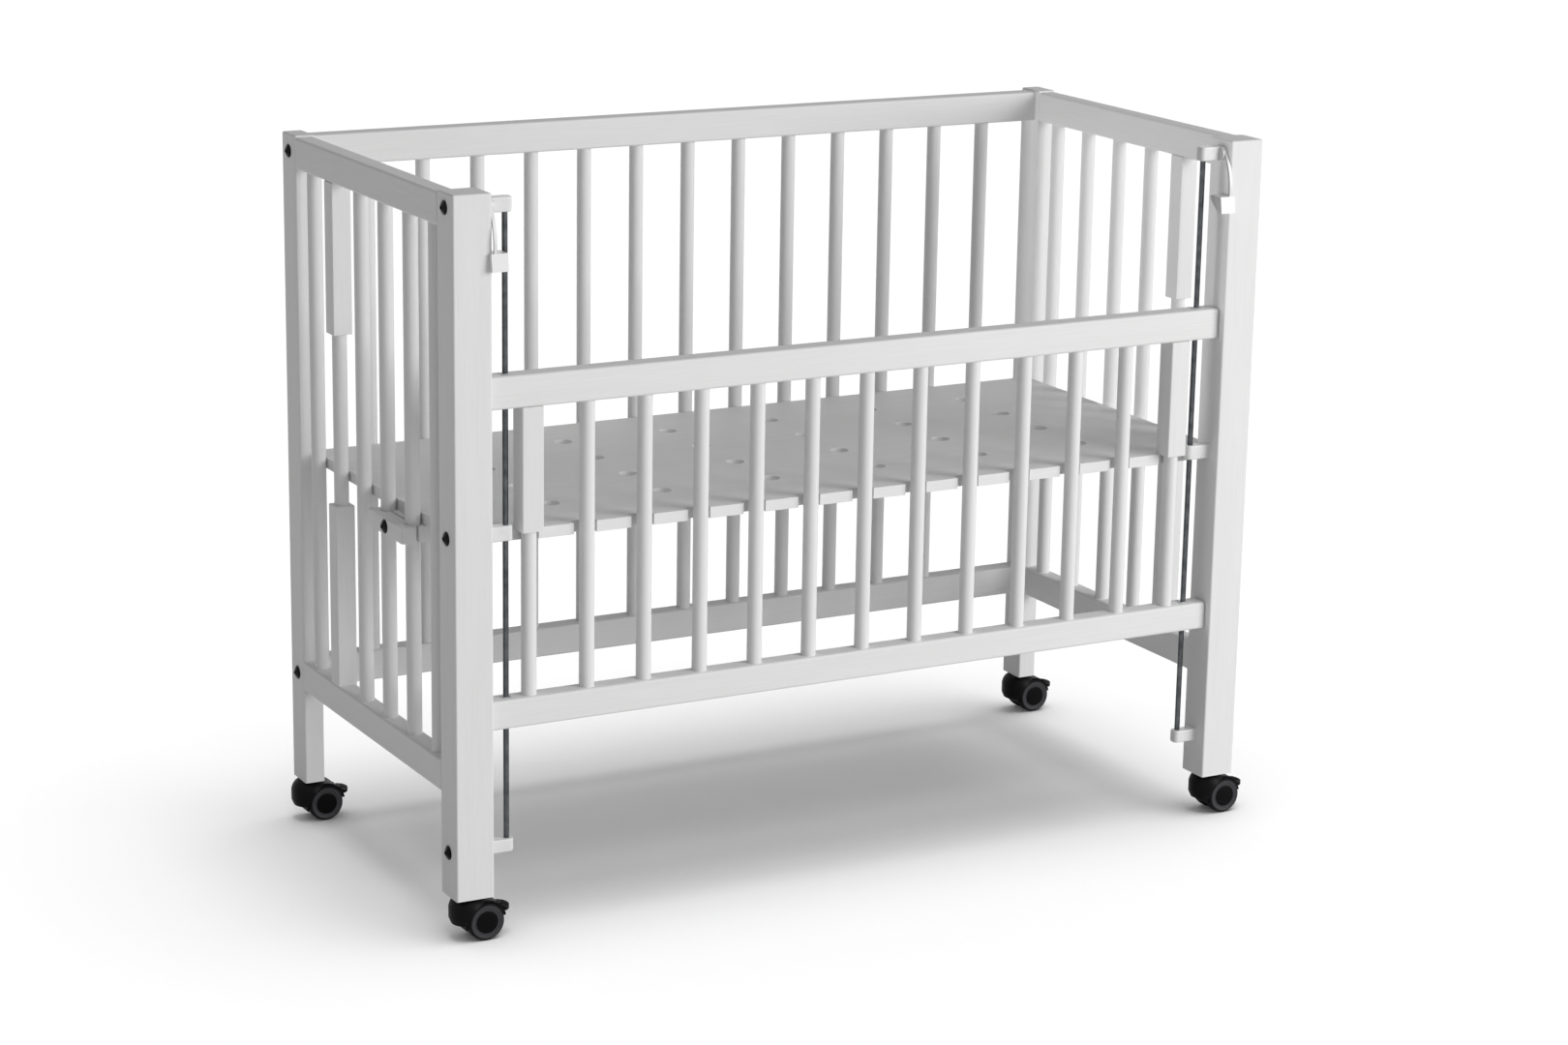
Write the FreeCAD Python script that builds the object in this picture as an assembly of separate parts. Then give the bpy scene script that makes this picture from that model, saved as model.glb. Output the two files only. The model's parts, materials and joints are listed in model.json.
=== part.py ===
import FreeCAD, Part
import math
import os
from FreeCAD import Vector

# Bedside sleeper crib: a slatted wooden frame on four casters, a height-adjustable bed board
# and a drop side that slides on two steel rods.
# Millimetres. X runs along the crib, Y from the drop side (-) to the back panel (+), Z up.
# The pieces are drawn about the middle of the frame, with the floor at z = 0. On writing they are
# moved so that the origin is on the floor under the middle of the crib's outline, which takes in
# the clamp bolts, the brake levers and the latches.

# ---------------------------------------------------------------- driving dimensions
LENGTH = 970.0                # over the end frames
WIDTH = 462.0                 # over the posts, front to back
HEIGHT = 782.0                # floor to post tops
CASTER_HEIGHT = 48.0          # floor to post bottoms

FRONT_POST_X = 42.0
FRONT_POST_Y = 40.0
REAR_POST_X = 23.0
REAR_POST_Y = 38.0
POST_EDGE = 2.0               # rounding of the post edges
POST_PROUD = 2.0              # post tops stand above the top rails

RAIL_HEIGHT = 34.0
LOW_RAIL_Z = 157.0            # underside of the fixed bottom rails
END_RAIL_T = 22.0
BACK_RAIL_T = 24.0
RAIL_EDGE = 2.5
BACK_RAIL_SETBACK = 7.0       # rear face of the back rails inside the rear post face

SLAT_D = 16.0
SLAT_PITCH = 65.7
LONG_MARGIN = 40.0            # least distance from the drop side's rail ends to a slat axis
END_MARGIN = 20.0             # the same for the end frames
SLAT_IN_RAIL = 14.0           # slats stand in blind holes
STOP_BLOCK = 22.0             # square blocks of the stop slats
STOP_TOP_Z = 582.0            # underside of the upper stop block
STOP_LOW_Z = 393.0            # top of the lower stop block
BLOCK_EDGE = 1.5

DOWEL_D = 8.0
DOWEL_LEN = 26.0
DOWEL_SPACING = 16.0

SIDE_RAIL_T = 24.0            # drop side rails
SIDE_LOW_RAIL_H = 31.0
SIDE_EDGE = 3.0
SIDE_END_GAP = 1.0            # rail end to post
SIDE_CLEAR_HEIGHT = 305.0     # between the two drop side rails
SIDE_BLOCK = 24.0             # square blocks that rest on the board
SIDE_BLOCK_LEN = 130.0
RAISED_DROP = 60.0            # raised top rail's underside to the post tops

BOARD_T = 12.0
BOARD_TOP_Z = 430.0
BOARD_GAP = 1.0               # to the end slats and the back slats
COMB_DEPTH = 9.0              # notches in the front edge
COMB_WIDTH = 26.0
COMB_CLEAR = 4.5              # slat to the back of its notch
BLOCK_LAP = 3.0               # width of board under each drop side block
SEAT_DEPTH = 0.5              # the blocks sit in shallow rebates
POST_CLEAR = 2.0
VENT_D = 20.0
VENT_ROWS = 4
VENT_ROW_PITCH = 82.0

ROD_D = 6.0
ROD_INSET = 23.0              # rod axis to the inner face of the front post
ROD_Y_FROM_FACE = 21.0        # rod axis behind the front face of the post
BRACKET_T = 13.0
BRACKET_TAIL = 6.5            # rod axis to the bracket's free end
BRACKET_CORNER = 5.0
BRACKET_EDGE = 1.5
UPPER_BRACKET_H = 15.5
MIDDLE_BRACKET_H = 16.0
LOWER_BRACKET_H = 14.0
UPPER_BRACKET_DROP = 15.0     # its bolt below the post top
MIDDLE_BOLT_Z = 430.0
LOWER_BOLT_Z = 96.0
ROD_SEAT = 5.0                # rod end inside the blind bore, from the bracket's far face

BOLT_D = 6.0
BOLT_HEAD_D = 15.0
BOLT_HEAD_H = 4.0
BOLT_SOCKET = 4.0             # across the flats of the hexagon socket
BOLT_SOCKET_DEPTH = 2.4
INSERT_D = 7.6
INSERT_LEN = 11.0
BARREL_D = 10.0
BARREL_LEN = 18.0
BARREL_INSET = 30.0           # barrel nut axis from the rail end
NUT_FLATS = 10.0
NUT_T = 5.0

EYE_R = 7.7                   # round of the latch eye
EYE_REACH = 6.0               # bolt axis to the centre of the eye's front round
EYE_T = 5.8
SPIGOT_D = 10.0
ARM_W = 3.2
ARM_T = 3.0
CATCH_W = 14.7                # catch body beside the post
CATCH_H = 18.0
CATCH_BITE = 6.0              # tooth under the raised rail
CATCH_LIP = 3.0               # lower edge of the front face stands out by this much
CATCH_FRONT = 4.5             # catch face in front of the post at its top
WING_LAP = 3.0                # wing in front of the post

BUSH_D = 9.0
BUSH_LEN = 14.0
BUSH_FLANGE_D = 11.0
BUSH_FLANGE_T = 1.0

CLAMP_LEN = 94.0
CLAMP_H = 17.0
CLAMP_T = 17.0                # each block, outwards
CLAMP_GAP = 2.0               # between the two blocks
CLAMP_EDGE = 3.0
SCREW_D = 4.0
SCREW_HEAD_D = 7.6
SCREW_LEN = 24.0
SCREW_SPACING = 32.0

WHEEL_R = 20.0
WHEEL_W = 12.0
WHEEL_GAP = 10.0              # between the two wheels of a caster
WHEEL_TRAIL = 14.0            # wheel axle behind the stem
DISC_D = 36.0
HUB_D = 24.0
DISC_T = 1.5
AXLE_D = 6.0
STEM_D = 8.0
STEM_IN_POST = 34.0
STEM_IN_HOUSING = 16.0
COLLAR_D = 18.0
COLLAR_T = 2.0
DOME_R = 20.5
DOME_TOP_R = 14.0
DOME_LOW_Z = 18.0
DOME_FOOT_H = 6.0             # tapered foot of the dome, and its inset
DOME_FOOT_INSET = 2.5
DOME_SHOULDER_H = 10.0        # rounded shoulder below the dome's top
DOME_SHOULDER_INSET = 4.0
HOOD_WALL = 2.2
HOOD_W = 28.0
WEB_T = 8.4
WEB_LINK = 8.0                # web inwards of the tread, where it meets the hood
LEVER_PIN_D = 3.0
LEVER_PIN_X = 13.0            # from the wheel axle
LEVER_PIN_Z = 9.0
LEVER_W = 25.0
LEVER_REACH = 31.0            # tip of the paddle from the wheel axle
LEVER_T = 4.0
SLOT_BEHIND_PIN = 5.5         # lever slot in the web and hood
SLOT_OVER_PIN = 7.5
SLOT_UNDER_AXLE = 3.0
SHOE_GAP = 1.45               # brake shoe to tread, brake off
SHOE_T = 2.3
TONGUE_T = 4.0

# Clearances
FIT = 0.1                     # all round a dowel, slat end, bush or bolt
RUN = 0.08                    # radius to radius on turning and sliding fits
END_FIT = 0.5                 # beyond the end of a dowel, slat or pin
GROOVE_FIT = 0.3              # clamp groove to slat
SLIDE_GAP = 0.3               # between faces that pass each other

# ---------------------------------------------------------------- places that follow
OUT_X = LENGTH / 2
OUT_Y = WIDTH / 2
FRONT_FACE_X = OUT_X - FRONT_POST_X           # inner face of the front posts
REAR_FACE_X = OUT_X - REAR_POST_X
END_FRONT_Y = FRONT_POST_Y - OUT_Y            # end rails run from post to post
END_BACK_Y = OUT_Y - REAR_POST_Y
END_MID_Y = (END_FRONT_Y + END_BACK_Y) / 2
END_X = OUT_X - END_RAIL_T / 2                # slat axis of the end frames
BACK_Y = OUT_Y - BACK_RAIL_SETBACK - BACK_RAIL_T / 2
TOP_RAIL_Z = HEIGHT - POST_PROUD - RAIL_HEIGHT
LOW_RAIL_TOP = LOW_RAIL_Z + RAIL_HEIGHT
TOP_MID_Z = TOP_RAIL_Z + RAIL_HEIGHT / 2
LOW_MID_Z = LOW_RAIL_Z + RAIL_HEIGHT / 2

ROD_X = FRONT_FACE_X - ROD_INSET
ROD_Y = ROD_Y_FROM_FACE - OUT_Y
SIDE_END_X = FRONT_FACE_X - SIDE_END_GAP
SIDE_TOP_RAIL_Z = BOARD_TOP_Z + SIDE_BLOCK_LEN
SIDE_LOW_RAIL_TOP = SIDE_TOP_RAIL_Z - SIDE_CLEAR_HEIGHT
SIDE_LOW_RAIL_Z = SIDE_LOW_RAIL_TOP - SIDE_LOW_RAIL_H
RAISED_RAIL_Z = HEIGHT - RAISED_DROP
SIDE_TRAVEL = RAISED_RAIL_Z - SIDE_TOP_RAIL_Z  # lowered to raised
UPPER_BOLT_Z = HEIGHT - UPPER_BRACKET_DROP

BOARD_UNDER_Z = BOARD_TOP_Z - BOARD_T
BOARD_X = END_X - SLAT_D / 2 - BOARD_GAP
BOARD_BACK_Y = BACK_Y - SLAT_D / 2 - BOARD_GAP
COMB_WALL_Y = ROD_Y + SLAT_D / 2 + COMB_CLEAR
BOARD_FRONT_Y = COMB_WALL_Y - COMB_DEPTH
BLOCK_WALL_Y = ROD_Y + SIDE_BLOCK / 2 - BLOCK_LAP
CLAMP_IN_X = END_X - CLAMP_GAP / 2 - CLAMP_T  # inner face of the inner block
CLAMP_OUT_X = END_X + CLAMP_GAP / 2 + CLAMP_T


def centred_row(length, margin, pitch):
    """Places of as many items as fit at this pitch, centred on 0."""
    count = int((length - 2 * margin) / pitch + 1e-6) + 1
    return [(i - (count - 1) / 2) * pitch for i in range(count)]


LONG_XS = centred_row(2 * SIDE_END_X, LONG_MARGIN, SLAT_PITCH)
END_YS = [END_MID_Y + y for y in centred_row(END_BACK_Y - END_FRONT_Y, END_MARGIN, SLAT_PITCH)]
BLOCK_X = LONG_XS[-1]
LEFT_STOP_Y = END_YS[-2]
RIGHT_STOP_Y = END_YS[1]


# ---------------------------------------------------------------- general shapes
def span_box(x, y, z):
    """Box from three (low, high) spans."""
    return Part.makeBox(x[1] - x[0], y[1] - y[0], z[1] - z[0], Vector(x[0], y[0], z[0]))


def edges_along(shape, axis):
    """Straight edges that run along one axis (0, 1 or 2)."""
    found = []
    for edge in shape.Edges:
        if len(edge.Vertexes) == 2:
            run = edge.Vertexes[1].Point.sub(edge.Vertexes[0].Point)
            if abs(abs(run[axis]) - run.Length) < 1e-6:
                found.append(edge)
    return found


def bar(x, y, z, axis, edge):
    """A bar with its four long edges rounded."""
    shape = span_box(x, y, z)
    return shape.makeFillet(edge, edges_along(shape, axis))


def cylinder(d, start, direction, length):
    return Part.makeCylinder(d / 2, length, Vector(*start), Vector(*direction))


def turned(profile, start=(0, 0, 0)):
    """Solid of revolution about the vertical through start, from (radius, height) corners."""
    points = [Vector(r, 0, z) for r, z in profile]
    face = Part.Face(Part.makePolygon(points + points[:1]))
    shape = face.revolve(Vector(0, 0, 0), Vector(0, 0, 1), 360)
    shape.translate(Vector(*start))
    return shape


def prism(outline, axis, low, high):
    """Closed outline of points and arcs in the plane across an axis, extruded along it.

    The outline is a list of (a, b) points; a point written (a, b, "via") is the middle of an arc
    between its neighbours.
    """
    def place(a, b):
        return {0: Vector(low, a, b), 1: Vector(a, low, b), 2: Vector(a, b, low)}[axis]

    points = outline + outline[:1]
    edges, i = [], 0
    while i < len(points) - 1:
        here = place(*points[i][:2])
        if len(points[i + 1]) == 3:
            via, after = place(*points[i + 1][:2]), place(*points[i + 2][:2])
            edges.append(Part.Arc(here, via, after).toShape())
            i += 2
        else:
            edges.append(Part.makeLine(here, place(*points[i + 1][:2])))
            i += 1
    run = [0, 0, 0]
    run[axis] = high - low
    return Part.Face(Part.Wire(edges)).extrude(Vector(*run))


def other_end(shape):
    """Mirror image at the other end of the crib."""
    return shape.mirror(Vector(0, 0, 0), Vector(1, 0, 0))


def turned_round(shape):
    """The same piece turned half a turn about the middle of the end frames."""
    copy = shape.copy()
    copy.rotate(Vector(0, END_MID_Y, 0), Vector(0, 0, 1), 180)
    return copy


def outline_middle():
    """Middle of the crib's outline as seen from above."""
    left = -(CLAMP_OUT_X + BOLT_HEAD_H)
    right = OUT_X - REAR_POST_X / 2 + WHEEL_TRAIL + LEVER_REACH
    front = -OUT_Y - CATCH_FRONT - CATCH_LIP
    back = BACK_Y + DOME_R
    return (left + right) / 2, (front + back) / 2


def write(name, shapes):
    """Write one sub-part; a list becomes one node of separate solids."""
    shape = Part.makeCompound(shapes) if isinstance(shapes, list) else shapes.copy()
    x, y = outline_middle()
    shape.translate(Vector(-x, -y, 0))
    shape.exportStep("parts/%s.step" % name)


# ---------------------------------------------------------------- posts, rails, slats
def dowel_heights(mid_z):
    return [mid_z - DOWEL_SPACING / 2, mid_z + DOWEL_SPACING / 2]


def dowel_hole(x, y, z, direction):
    depth = DOWEL_LEN / 2 + END_FIT
    return cylinder(DOWEL_D + 2 * FIT, (x, y, z), direction, depth)


def back_dowel_z(mid_z):
    """The back rails have one dowel, under the bolt."""
    return mid_z - DOWEL_SPACING * 0.7


def post(x, y, side_y):
    """Right-hand post: rounded edges, dowel holes towards the end rails, caster stem hole."""
    shape = span_box(x, y, (CASTER_HEIGHT, HEIGHT))
    top = [e for e in shape.Edges if all(v.Z > HEIGHT - 1e-6 for v in e.Vertexes)]
    shape = shape.makeFillet(POST_EDGE, edges_along(shape, 2) + top)
    inward = 1 if side_y < END_MID_Y else -1
    for mid_z in (LOW_MID_Z, TOP_MID_Z):
        for z in dowel_heights(mid_z):
            shape = shape.cut(dowel_hole(END_X, side_y, z, (0, -inward, 0)))
    stem = cylinder(STEM_D + 2 * FIT, (*stem_place(inward < 0), CASTER_HEIGHT), (0, 0, 1),
                    STEM_IN_POST + END_FIT)
    return shape.cut(stem)


def stem_place(rear):
    """Middle of the right-hand post's foot."""
    if rear:
        return OUT_X - REAR_POST_X / 2, BACK_Y
    return OUT_X - FRONT_POST_X / 2, FRONT_POST_Y / 2 - OUT_Y


def front_post():
    shape = post((FRONT_FACE_X, OUT_X), (-OUT_Y, END_FRONT_Y), END_FRONT_Y)
    for z in (UPPER_BOLT_Z, MIDDLE_BOLT_Z, LOWER_BOLT_Z):
        hole = cylinder(BOLT_D + 4 * FIT, (FRONT_FACE_X, ROD_Y, z), (1, 0, 0), FRONT_POST_X)
        shape = shape.cut(hole)
    return shape


def rear_post():
    shape = post((REAR_FACE_X, OUT_X), (END_BACK_Y, OUT_Y), END_BACK_Y)
    for mid_z in (LOW_MID_Z, TOP_MID_Z):
        hole = cylinder(BOLT_D + 4 * FIT, (REAR_FACE_X, BACK_Y, mid_z), (1, 0, 0), REAR_POST_X)
        shape = shape.cut(hole)
        shape = shape.cut(dowel_hole(REAR_FACE_X, BACK_Y, back_dowel_z(mid_z), (1, 0, 0)))
    return shape


def slat_hole(x, y, z, up):
    return cylinder(SLAT_D + 2 * FIT, (x, y, z), (0, 0, 1 if up else -1), SLAT_IN_RAIL + END_FIT)


def end_rail(low_z, slats_above):
    """Right-hand end rail with dowel holes in both ends and the slats' holes in one face."""
    shape = bar((OUT_X - END_RAIL_T, OUT_X), (END_FRONT_Y, END_BACK_Y),
                (low_z, low_z + RAIL_HEIGHT), 1, RAIL_EDGE)
    for z in dowel_heights(low_z + RAIL_HEIGHT / 2):
        shape = shape.cut(dowel_hole(END_X, END_FRONT_Y, z, (0, 1, 0)))
        shape = shape.cut(dowel_hole(END_X, END_BACK_Y, z, (0, -1, 0)))
    face_z = low_z + RAIL_HEIGHT if slats_above else low_z
    for y in END_YS:
        shape = shape.cut(slat_hole(END_X, y, face_z, not slats_above))
    return shape


def back_rail(low_z, slats_above):
    """Back rail: bolt and dowel holes in the ends, barrel nut holes from the hidden rear face."""
    half_t = BACK_RAIL_T / 2
    mid_z = low_z + RAIL_HEIGHT / 2
    shape = bar((-REAR_FACE_X, REAR_FACE_X), (BACK_Y - half_t, BACK_Y + half_t),
                (low_z, low_z + RAIL_HEIGHT), 0, RAIL_EDGE)
    for side in (-1, 1):
        end_x = side * REAR_FACE_X
        bolt = cylinder(BOLT_D + 4 * FIT, (end_x, BACK_Y, mid_z), (-side, 0, 0),
                        BARREL_INSET + BARREL_D)
        barrel = cylinder(BARREL_D + 2 * FIT, (end_x - side * BARREL_INSET, BACK_Y + half_t, mid_z),
                          (0, -1, 0), half_t + BARREL_LEN / 2 + END_FIT)
        dowel = dowel_hole(end_x, BACK_Y, back_dowel_z(mid_z), (-side, 0, 0))
        shape = shape.cut(bolt).cut(barrel).cut(dowel)
    face_z = low_z + RAIL_HEIGHT if slats_above else low_z
    for x in LONG_XS:
        shape = shape.cut(slat_hole(x, BACK_Y, face_z, not slats_above))
    return shape


def slat(x, y, low_z, high_z):
    """Round slat between two rail faces, with both ends let into the rails."""
    return cylinder(SLAT_D, (x, y, low_z - SLAT_IN_RAIL), (0, 0, 1), high_z - low_z + 2 * SLAT_IN_RAIL)


def square_block(x, y, size, low_z, high_z):
    half = size / 2
    return bar((x - half, x + half), (y - half, y + half), (low_z, high_z), 2, BLOCK_EDGE)


def stop_slat(y):
    """End slat with a square block above and below, which stop the bed board."""
    shape = slat(END_X, y, LOW_RAIL_TOP, TOP_RAIL_Z)
    shape = shape.fuse(square_block(END_X, y, STOP_BLOCK, LOW_RAIL_TOP, STOP_LOW_Z))
    return shape.fuse(square_block(END_X, y, STOP_BLOCK, STOP_TOP_Z, TOP_RAIL_Z))


def end_slats(stop_y):
    return [slat(END_X, y, LOW_RAIL_TOP, TOP_RAIL_Z) for y in END_YS if y != stop_y]


# ---------------------------------------------------------------- drop side
def side_rail(low_z, height, slats_above):
    """Drop side rail: a stepped bore for the bush and rod near each end, slat holes."""
    half = SIDE_RAIL_T / 2
    top_z = low_z + height
    shape = bar((-SIDE_END_X, SIDE_END_X), (ROD_Y - half, ROD_Y + half), (low_z, top_z), 0, SIDE_EDGE)
    for x in (-ROD_X, ROD_X):
        shape = shape.cut(cylinder(ROD_D + 1.5, (x, ROD_Y, low_z), (0, 0, 1), height))
        shape = shape.cut(cylinder(BUSH_D + 2 * FIT, (x, ROD_Y, top_z), (0, 0, -1), BUSH_LEN + END_FIT))
    for x in LONG_XS:
        shape = shape.cut(slat_hole(x, ROD_Y, top_z if slats_above else low_z, not slats_above))
    return shape


def rod_bush(x, rail_top):
    """Flanged metal bush in the top of a drop side rail."""
    bore = ROD_D / 2 + RUN
    return turned([(bore, rail_top - BUSH_LEN), (BUSH_D / 2, rail_top - BUSH_LEN),
                   (BUSH_D / 2, rail_top), (BUSH_FLANGE_D / 2, rail_top),
                   (BUSH_FLANGE_D / 2, rail_top + BUSH_FLANGE_T), (bore, rail_top + BUSH_FLANGE_T)],
                  (x, ROD_Y, 0))


def block_slat(x):
    """Outermost drop side slat: its upper part is a square block that rests on the board."""
    shape = slat(x, ROD_Y, SIDE_LOW_RAIL_TOP, SIDE_TOP_RAIL_Z)
    return shape.fuse(square_block(x, ROD_Y, SIDE_BLOCK, BOARD_TOP_Z - SEAT_DEPTH, SIDE_TOP_RAIL_Z))


# ---------------------------------------------------------------- bed board and its clamps
def board_outline():
    """Plan of the board: comb front edge, corners cut round the four posts."""
    shoulder_x = BLOCK_X - SIDE_BLOCK / 2 - POST_CLEAR / 2
    front_x = SIDE_END_X - POST_CLEAR / 2
    front = [(-shoulder_x, BLOCK_WALL_Y), (-shoulder_x, BOARD_FRONT_Y)]
    for x in LONG_XS[1:-1]:
        low, high = x - COMB_WIDTH / 2, x + COMB_WIDTH / 2
        front += [(low, BOARD_FRONT_Y), (low, COMB_WALL_Y), (high, COMB_WALL_Y), (high, BOARD_FRONT_Y)]
    front += [(shoulder_x, BOARD_FRONT_Y), (shoulder_x, BLOCK_WALL_Y)]
    right = [(front_x, BLOCK_WALL_Y), (front_x, END_FRONT_Y + POST_CLEAR),
             (BOARD_X, END_FRONT_Y + POST_CLEAR), (BOARD_X, END_BACK_Y - POST_CLEAR),
             (REAR_FACE_X - POST_CLEAR, END_BACK_Y - POST_CLEAR), (REAR_FACE_X - POST_CLEAR, BOARD_BACK_Y)]
    left = [(-x, y) for x, y in reversed(right)]
    return front + right + left


def vent_places():
    """Columns of holes in every second gap between the slats, rows centred on the board."""
    gaps = [(a + b) / 2 for a, b in zip(LONG_XS, LONG_XS[1:])]
    mid_y = (COMB_WALL_Y + BOARD_BACK_Y) / 2
    rows = [(i - (VENT_ROWS - 1) / 2) * VENT_ROW_PITCH for i in range(VENT_ROWS)]
    columns = [x + SLAT_PITCH / 2 for x in gaps[::2] if x + SLAT_PITCH / 2 < gaps[-1] + 1]
    return [(x, mid_y + y) for x in columns for y in rows]


def bed_board():
    shape = prism(board_outline(), 2, BOARD_UNDER_Z, BOARD_TOP_Z)
    for x, y in vent_places():
        shape = shape.cut(cylinder(VENT_D, (x, y, BOARD_UNDER_Z), (0, 0, 1), BOARD_T))
    half = SIDE_BLOCK / 2 + SLIDE_GAP
    for x in (-BLOCK_X, BLOCK_X):
        seat = span_box((x - half, x + half), (BLOCK_WALL_Y, ROD_Y + half), (BOARD_TOP_Z - SEAT_DEPTH, BOARD_TOP_Z))
        shape = shape.cut(seat)
    for piece in both_clamps(screw_holes()):
        shape = shape.cut(piece)
    return shape


CLAMP_Y = (END_YS[1] + END_YS[2]) / 2         # left clamp; the right one is turned round
CLAMP_Z = BOARD_UNDER_Z - CLAMP_H / 2


def both_clamps(left_shape):
    return [left_shape, turned_round(left_shape)]


def clamp_block(inner_x, outer_x):
    """Left clamp block with half-round grooves for two slats."""
    half = CLAMP_LEN / 2
    shape = bar((-outer_x, -inner_x), (CLAMP_Y - half, CLAMP_Y + half),
                (BOARD_UNDER_Z - CLAMP_H, BOARD_UNDER_Z), 2, CLAMP_EDGE)
    for y in END_YS[1:3]:
        groove = cylinder(SLAT_D + 2 * GROOVE_FIT, (-END_X, y, BOARD_UNDER_Z), (0, 0, -1), CLAMP_H)
        shape = shape.cut(groove)
    bolt = cylinder(BOLT_D + 4 * FIT, (-outer_x, CLAMP_Y, CLAMP_Z), (1, 0, 0), outer_x - inner_x)
    return shape.cut(bolt)


def clamp_outer_block():
    return clamp_block(END_X + CLAMP_GAP / 2, CLAMP_OUT_X)


def clamp_inner_block():
    """Fixed under the board; holds the nut in a hexagonal pocket."""
    shape = clamp_block(CLAMP_IN_X, END_X - CLAMP_GAP / 2)
    pocket = hexagon(NUT_FLATS + 2 * FIT, NUT_T + FIT)
    pocket.translate(Vector(-CLAMP_IN_X - NUT_T - FIT, CLAMP_Y, CLAMP_Z))
    return shape.cut(pocket).cut(screw_holes())


def hexagon(flats, length):
    """Hexagonal prism along +X from the origin."""
    r = flats / math.sqrt(3)
    corners = [(r * math.cos(math.radians(60 * i)), r * math.sin(math.radians(60 * i))) for i in range(6)]
    return prism(corners, 0, 0, length)


def clamp_nut():
    nut = hexagon(NUT_FLATS, NUT_T).cut(cylinder(BOLT_D + 2 * FIT, (0, 0, 0), (1, 0, 0), NUT_T))
    nut.translate(Vector(-CLAMP_IN_X - NUT_T - FIT / 2, CLAMP_Y, CLAMP_Z))
    return nut


SCREW_X = -(CLAMP_IN_X + BOARD_X) / 2


def clamp_screw(extra=0.0):
    """Countersunk screw from below, through the inner block into the board."""
    foot = BOARD_UNDER_Z - CLAMP_H
    r, head, cone = SCREW_D / 2 + extra, SCREW_HEAD_D / 2 + extra, (SCREW_HEAD_D - SCREW_D) / 2
    return turned([(0, foot), (head, foot), (r, foot + cone), (r, foot + SCREW_LEN + 2 * extra),
                   (0, foot + SCREW_LEN + 2 * extra)])


def clamp_screws(extra=0.0):
    pieces = []
    for side in (-1, 1):
        piece = clamp_screw(extra)
        piece.translate(Vector(SCREW_X, CLAMP_Y + side * SCREW_SPACING / 2, 0))
        pieces.append(piece)
    return pieces


def screw_holes():
    return Part.makeCompound(clamp_screws(FIT))


# ---------------------------------------------------------------- fasteners
def bolt(length):
    """Low-headed furniture bolt along -X: the head's seat is at the origin, the shank at x < 0."""
    head_r, h = BOLT_HEAD_D / 2, BOLT_HEAD_H
    rim = 1.0
    profile = [Vector(0, 0, 0), Vector(0, 0, head_r), Vector(rim, 0, head_r)]
    dome = Part.Arc(profile[2], Vector(h * 0.72, 0, head_r * 0.6), Vector(h, 0, head_r * 0.15)).toShape()
    tip = Vector(h, 0, 0)
    edges = [Part.makeLine(profile[0], profile[1]), Part.makeLine(profile[1], profile[2]), dome,
             Part.makeLine(Vector(h, 0, head_r * 0.15), tip), Part.makeLine(tip, profile[0])]
    head = Part.Face(Part.Wire(edges)).revolve(Vector(0, 0, 0), Vector(1, 0, 0), 360)
    socket = hexagon(BOLT_SOCKET, BOLT_SOCKET_DEPTH)
    socket.translate(Vector(h - BOLT_SOCKET_DEPTH, 0, 0))
    shank = cylinder(BOLT_D, (-length, 0, 0), (1, 0, 0), length + rim / 2)
    return head.fuse(shank).cut(socket)


def bolt_at(length, x, y, z):
    shape = bolt(length)
    shape.translate(Vector(x, y, z))
    return shape


def bracket_bolts():
    length = FRONT_POST_X + INSERT_LEN - FIT
    right = [bolt_at(length, OUT_X, ROD_Y, z) for z in (UPPER_BOLT_Z, MIDDLE_BOLT_Z, LOWER_BOLT_Z)]
    return right + [other_end(b) for b in right]


def back_panel_bolts():
    length = REAR_POST_X + BARREL_INSET + BARREL_D / 2
    right = [bolt_at(length, OUT_X, BACK_Y, z) for z in (LOW_MID_Z, TOP_MID_Z)]
    return right + [other_end(b) for b in right]


def clamp_bolts():
    right = bolt_at(CLAMP_OUT_X - CLAMP_IN_X - FIT, CLAMP_OUT_X, 2 * END_MID_Y - CLAMP_Y, CLAMP_Z)
    return [turned_round(right), right]


def barrel_nuts():
    pieces = []
    for side in (-1, 1):
        for z in (LOW_MID_Z, TOP_MID_Z):
            x = side * (REAR_FACE_X - BARREL_INSET)
            nut = cylinder(BARREL_D, (x, BACK_Y - BARREL_LEN / 2, z), (0, 1, 0), BARREL_LEN)
            thread = cylinder(BOLT_D + 2 * FIT, (x - BARREL_D, BACK_Y, z), (1, 0, 0), 2 * BARREL_D)
            pieces.append(nut.cut(thread))
    return pieces


def rail_dowels():
    """Dowels of the end rails, along Y, and of the back rails, along X."""
    half = DOWEL_LEN / 2
    right = []
    for mid_z in (LOW_MID_Z, TOP_MID_Z):
        for y in (END_FRONT_Y, END_BACK_Y):
            right += [cylinder(DOWEL_D, (END_X, y - half, z), (0, 1, 0), DOWEL_LEN)
                      for z in dowel_heights(mid_z)]
        right.append(cylinder(DOWEL_D, (REAR_FACE_X - half, BACK_Y, back_dowel_z(mid_z)), (1, 0, 0),
                              DOWEL_LEN))
    return right + [other_end(d) for d in right]


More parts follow.
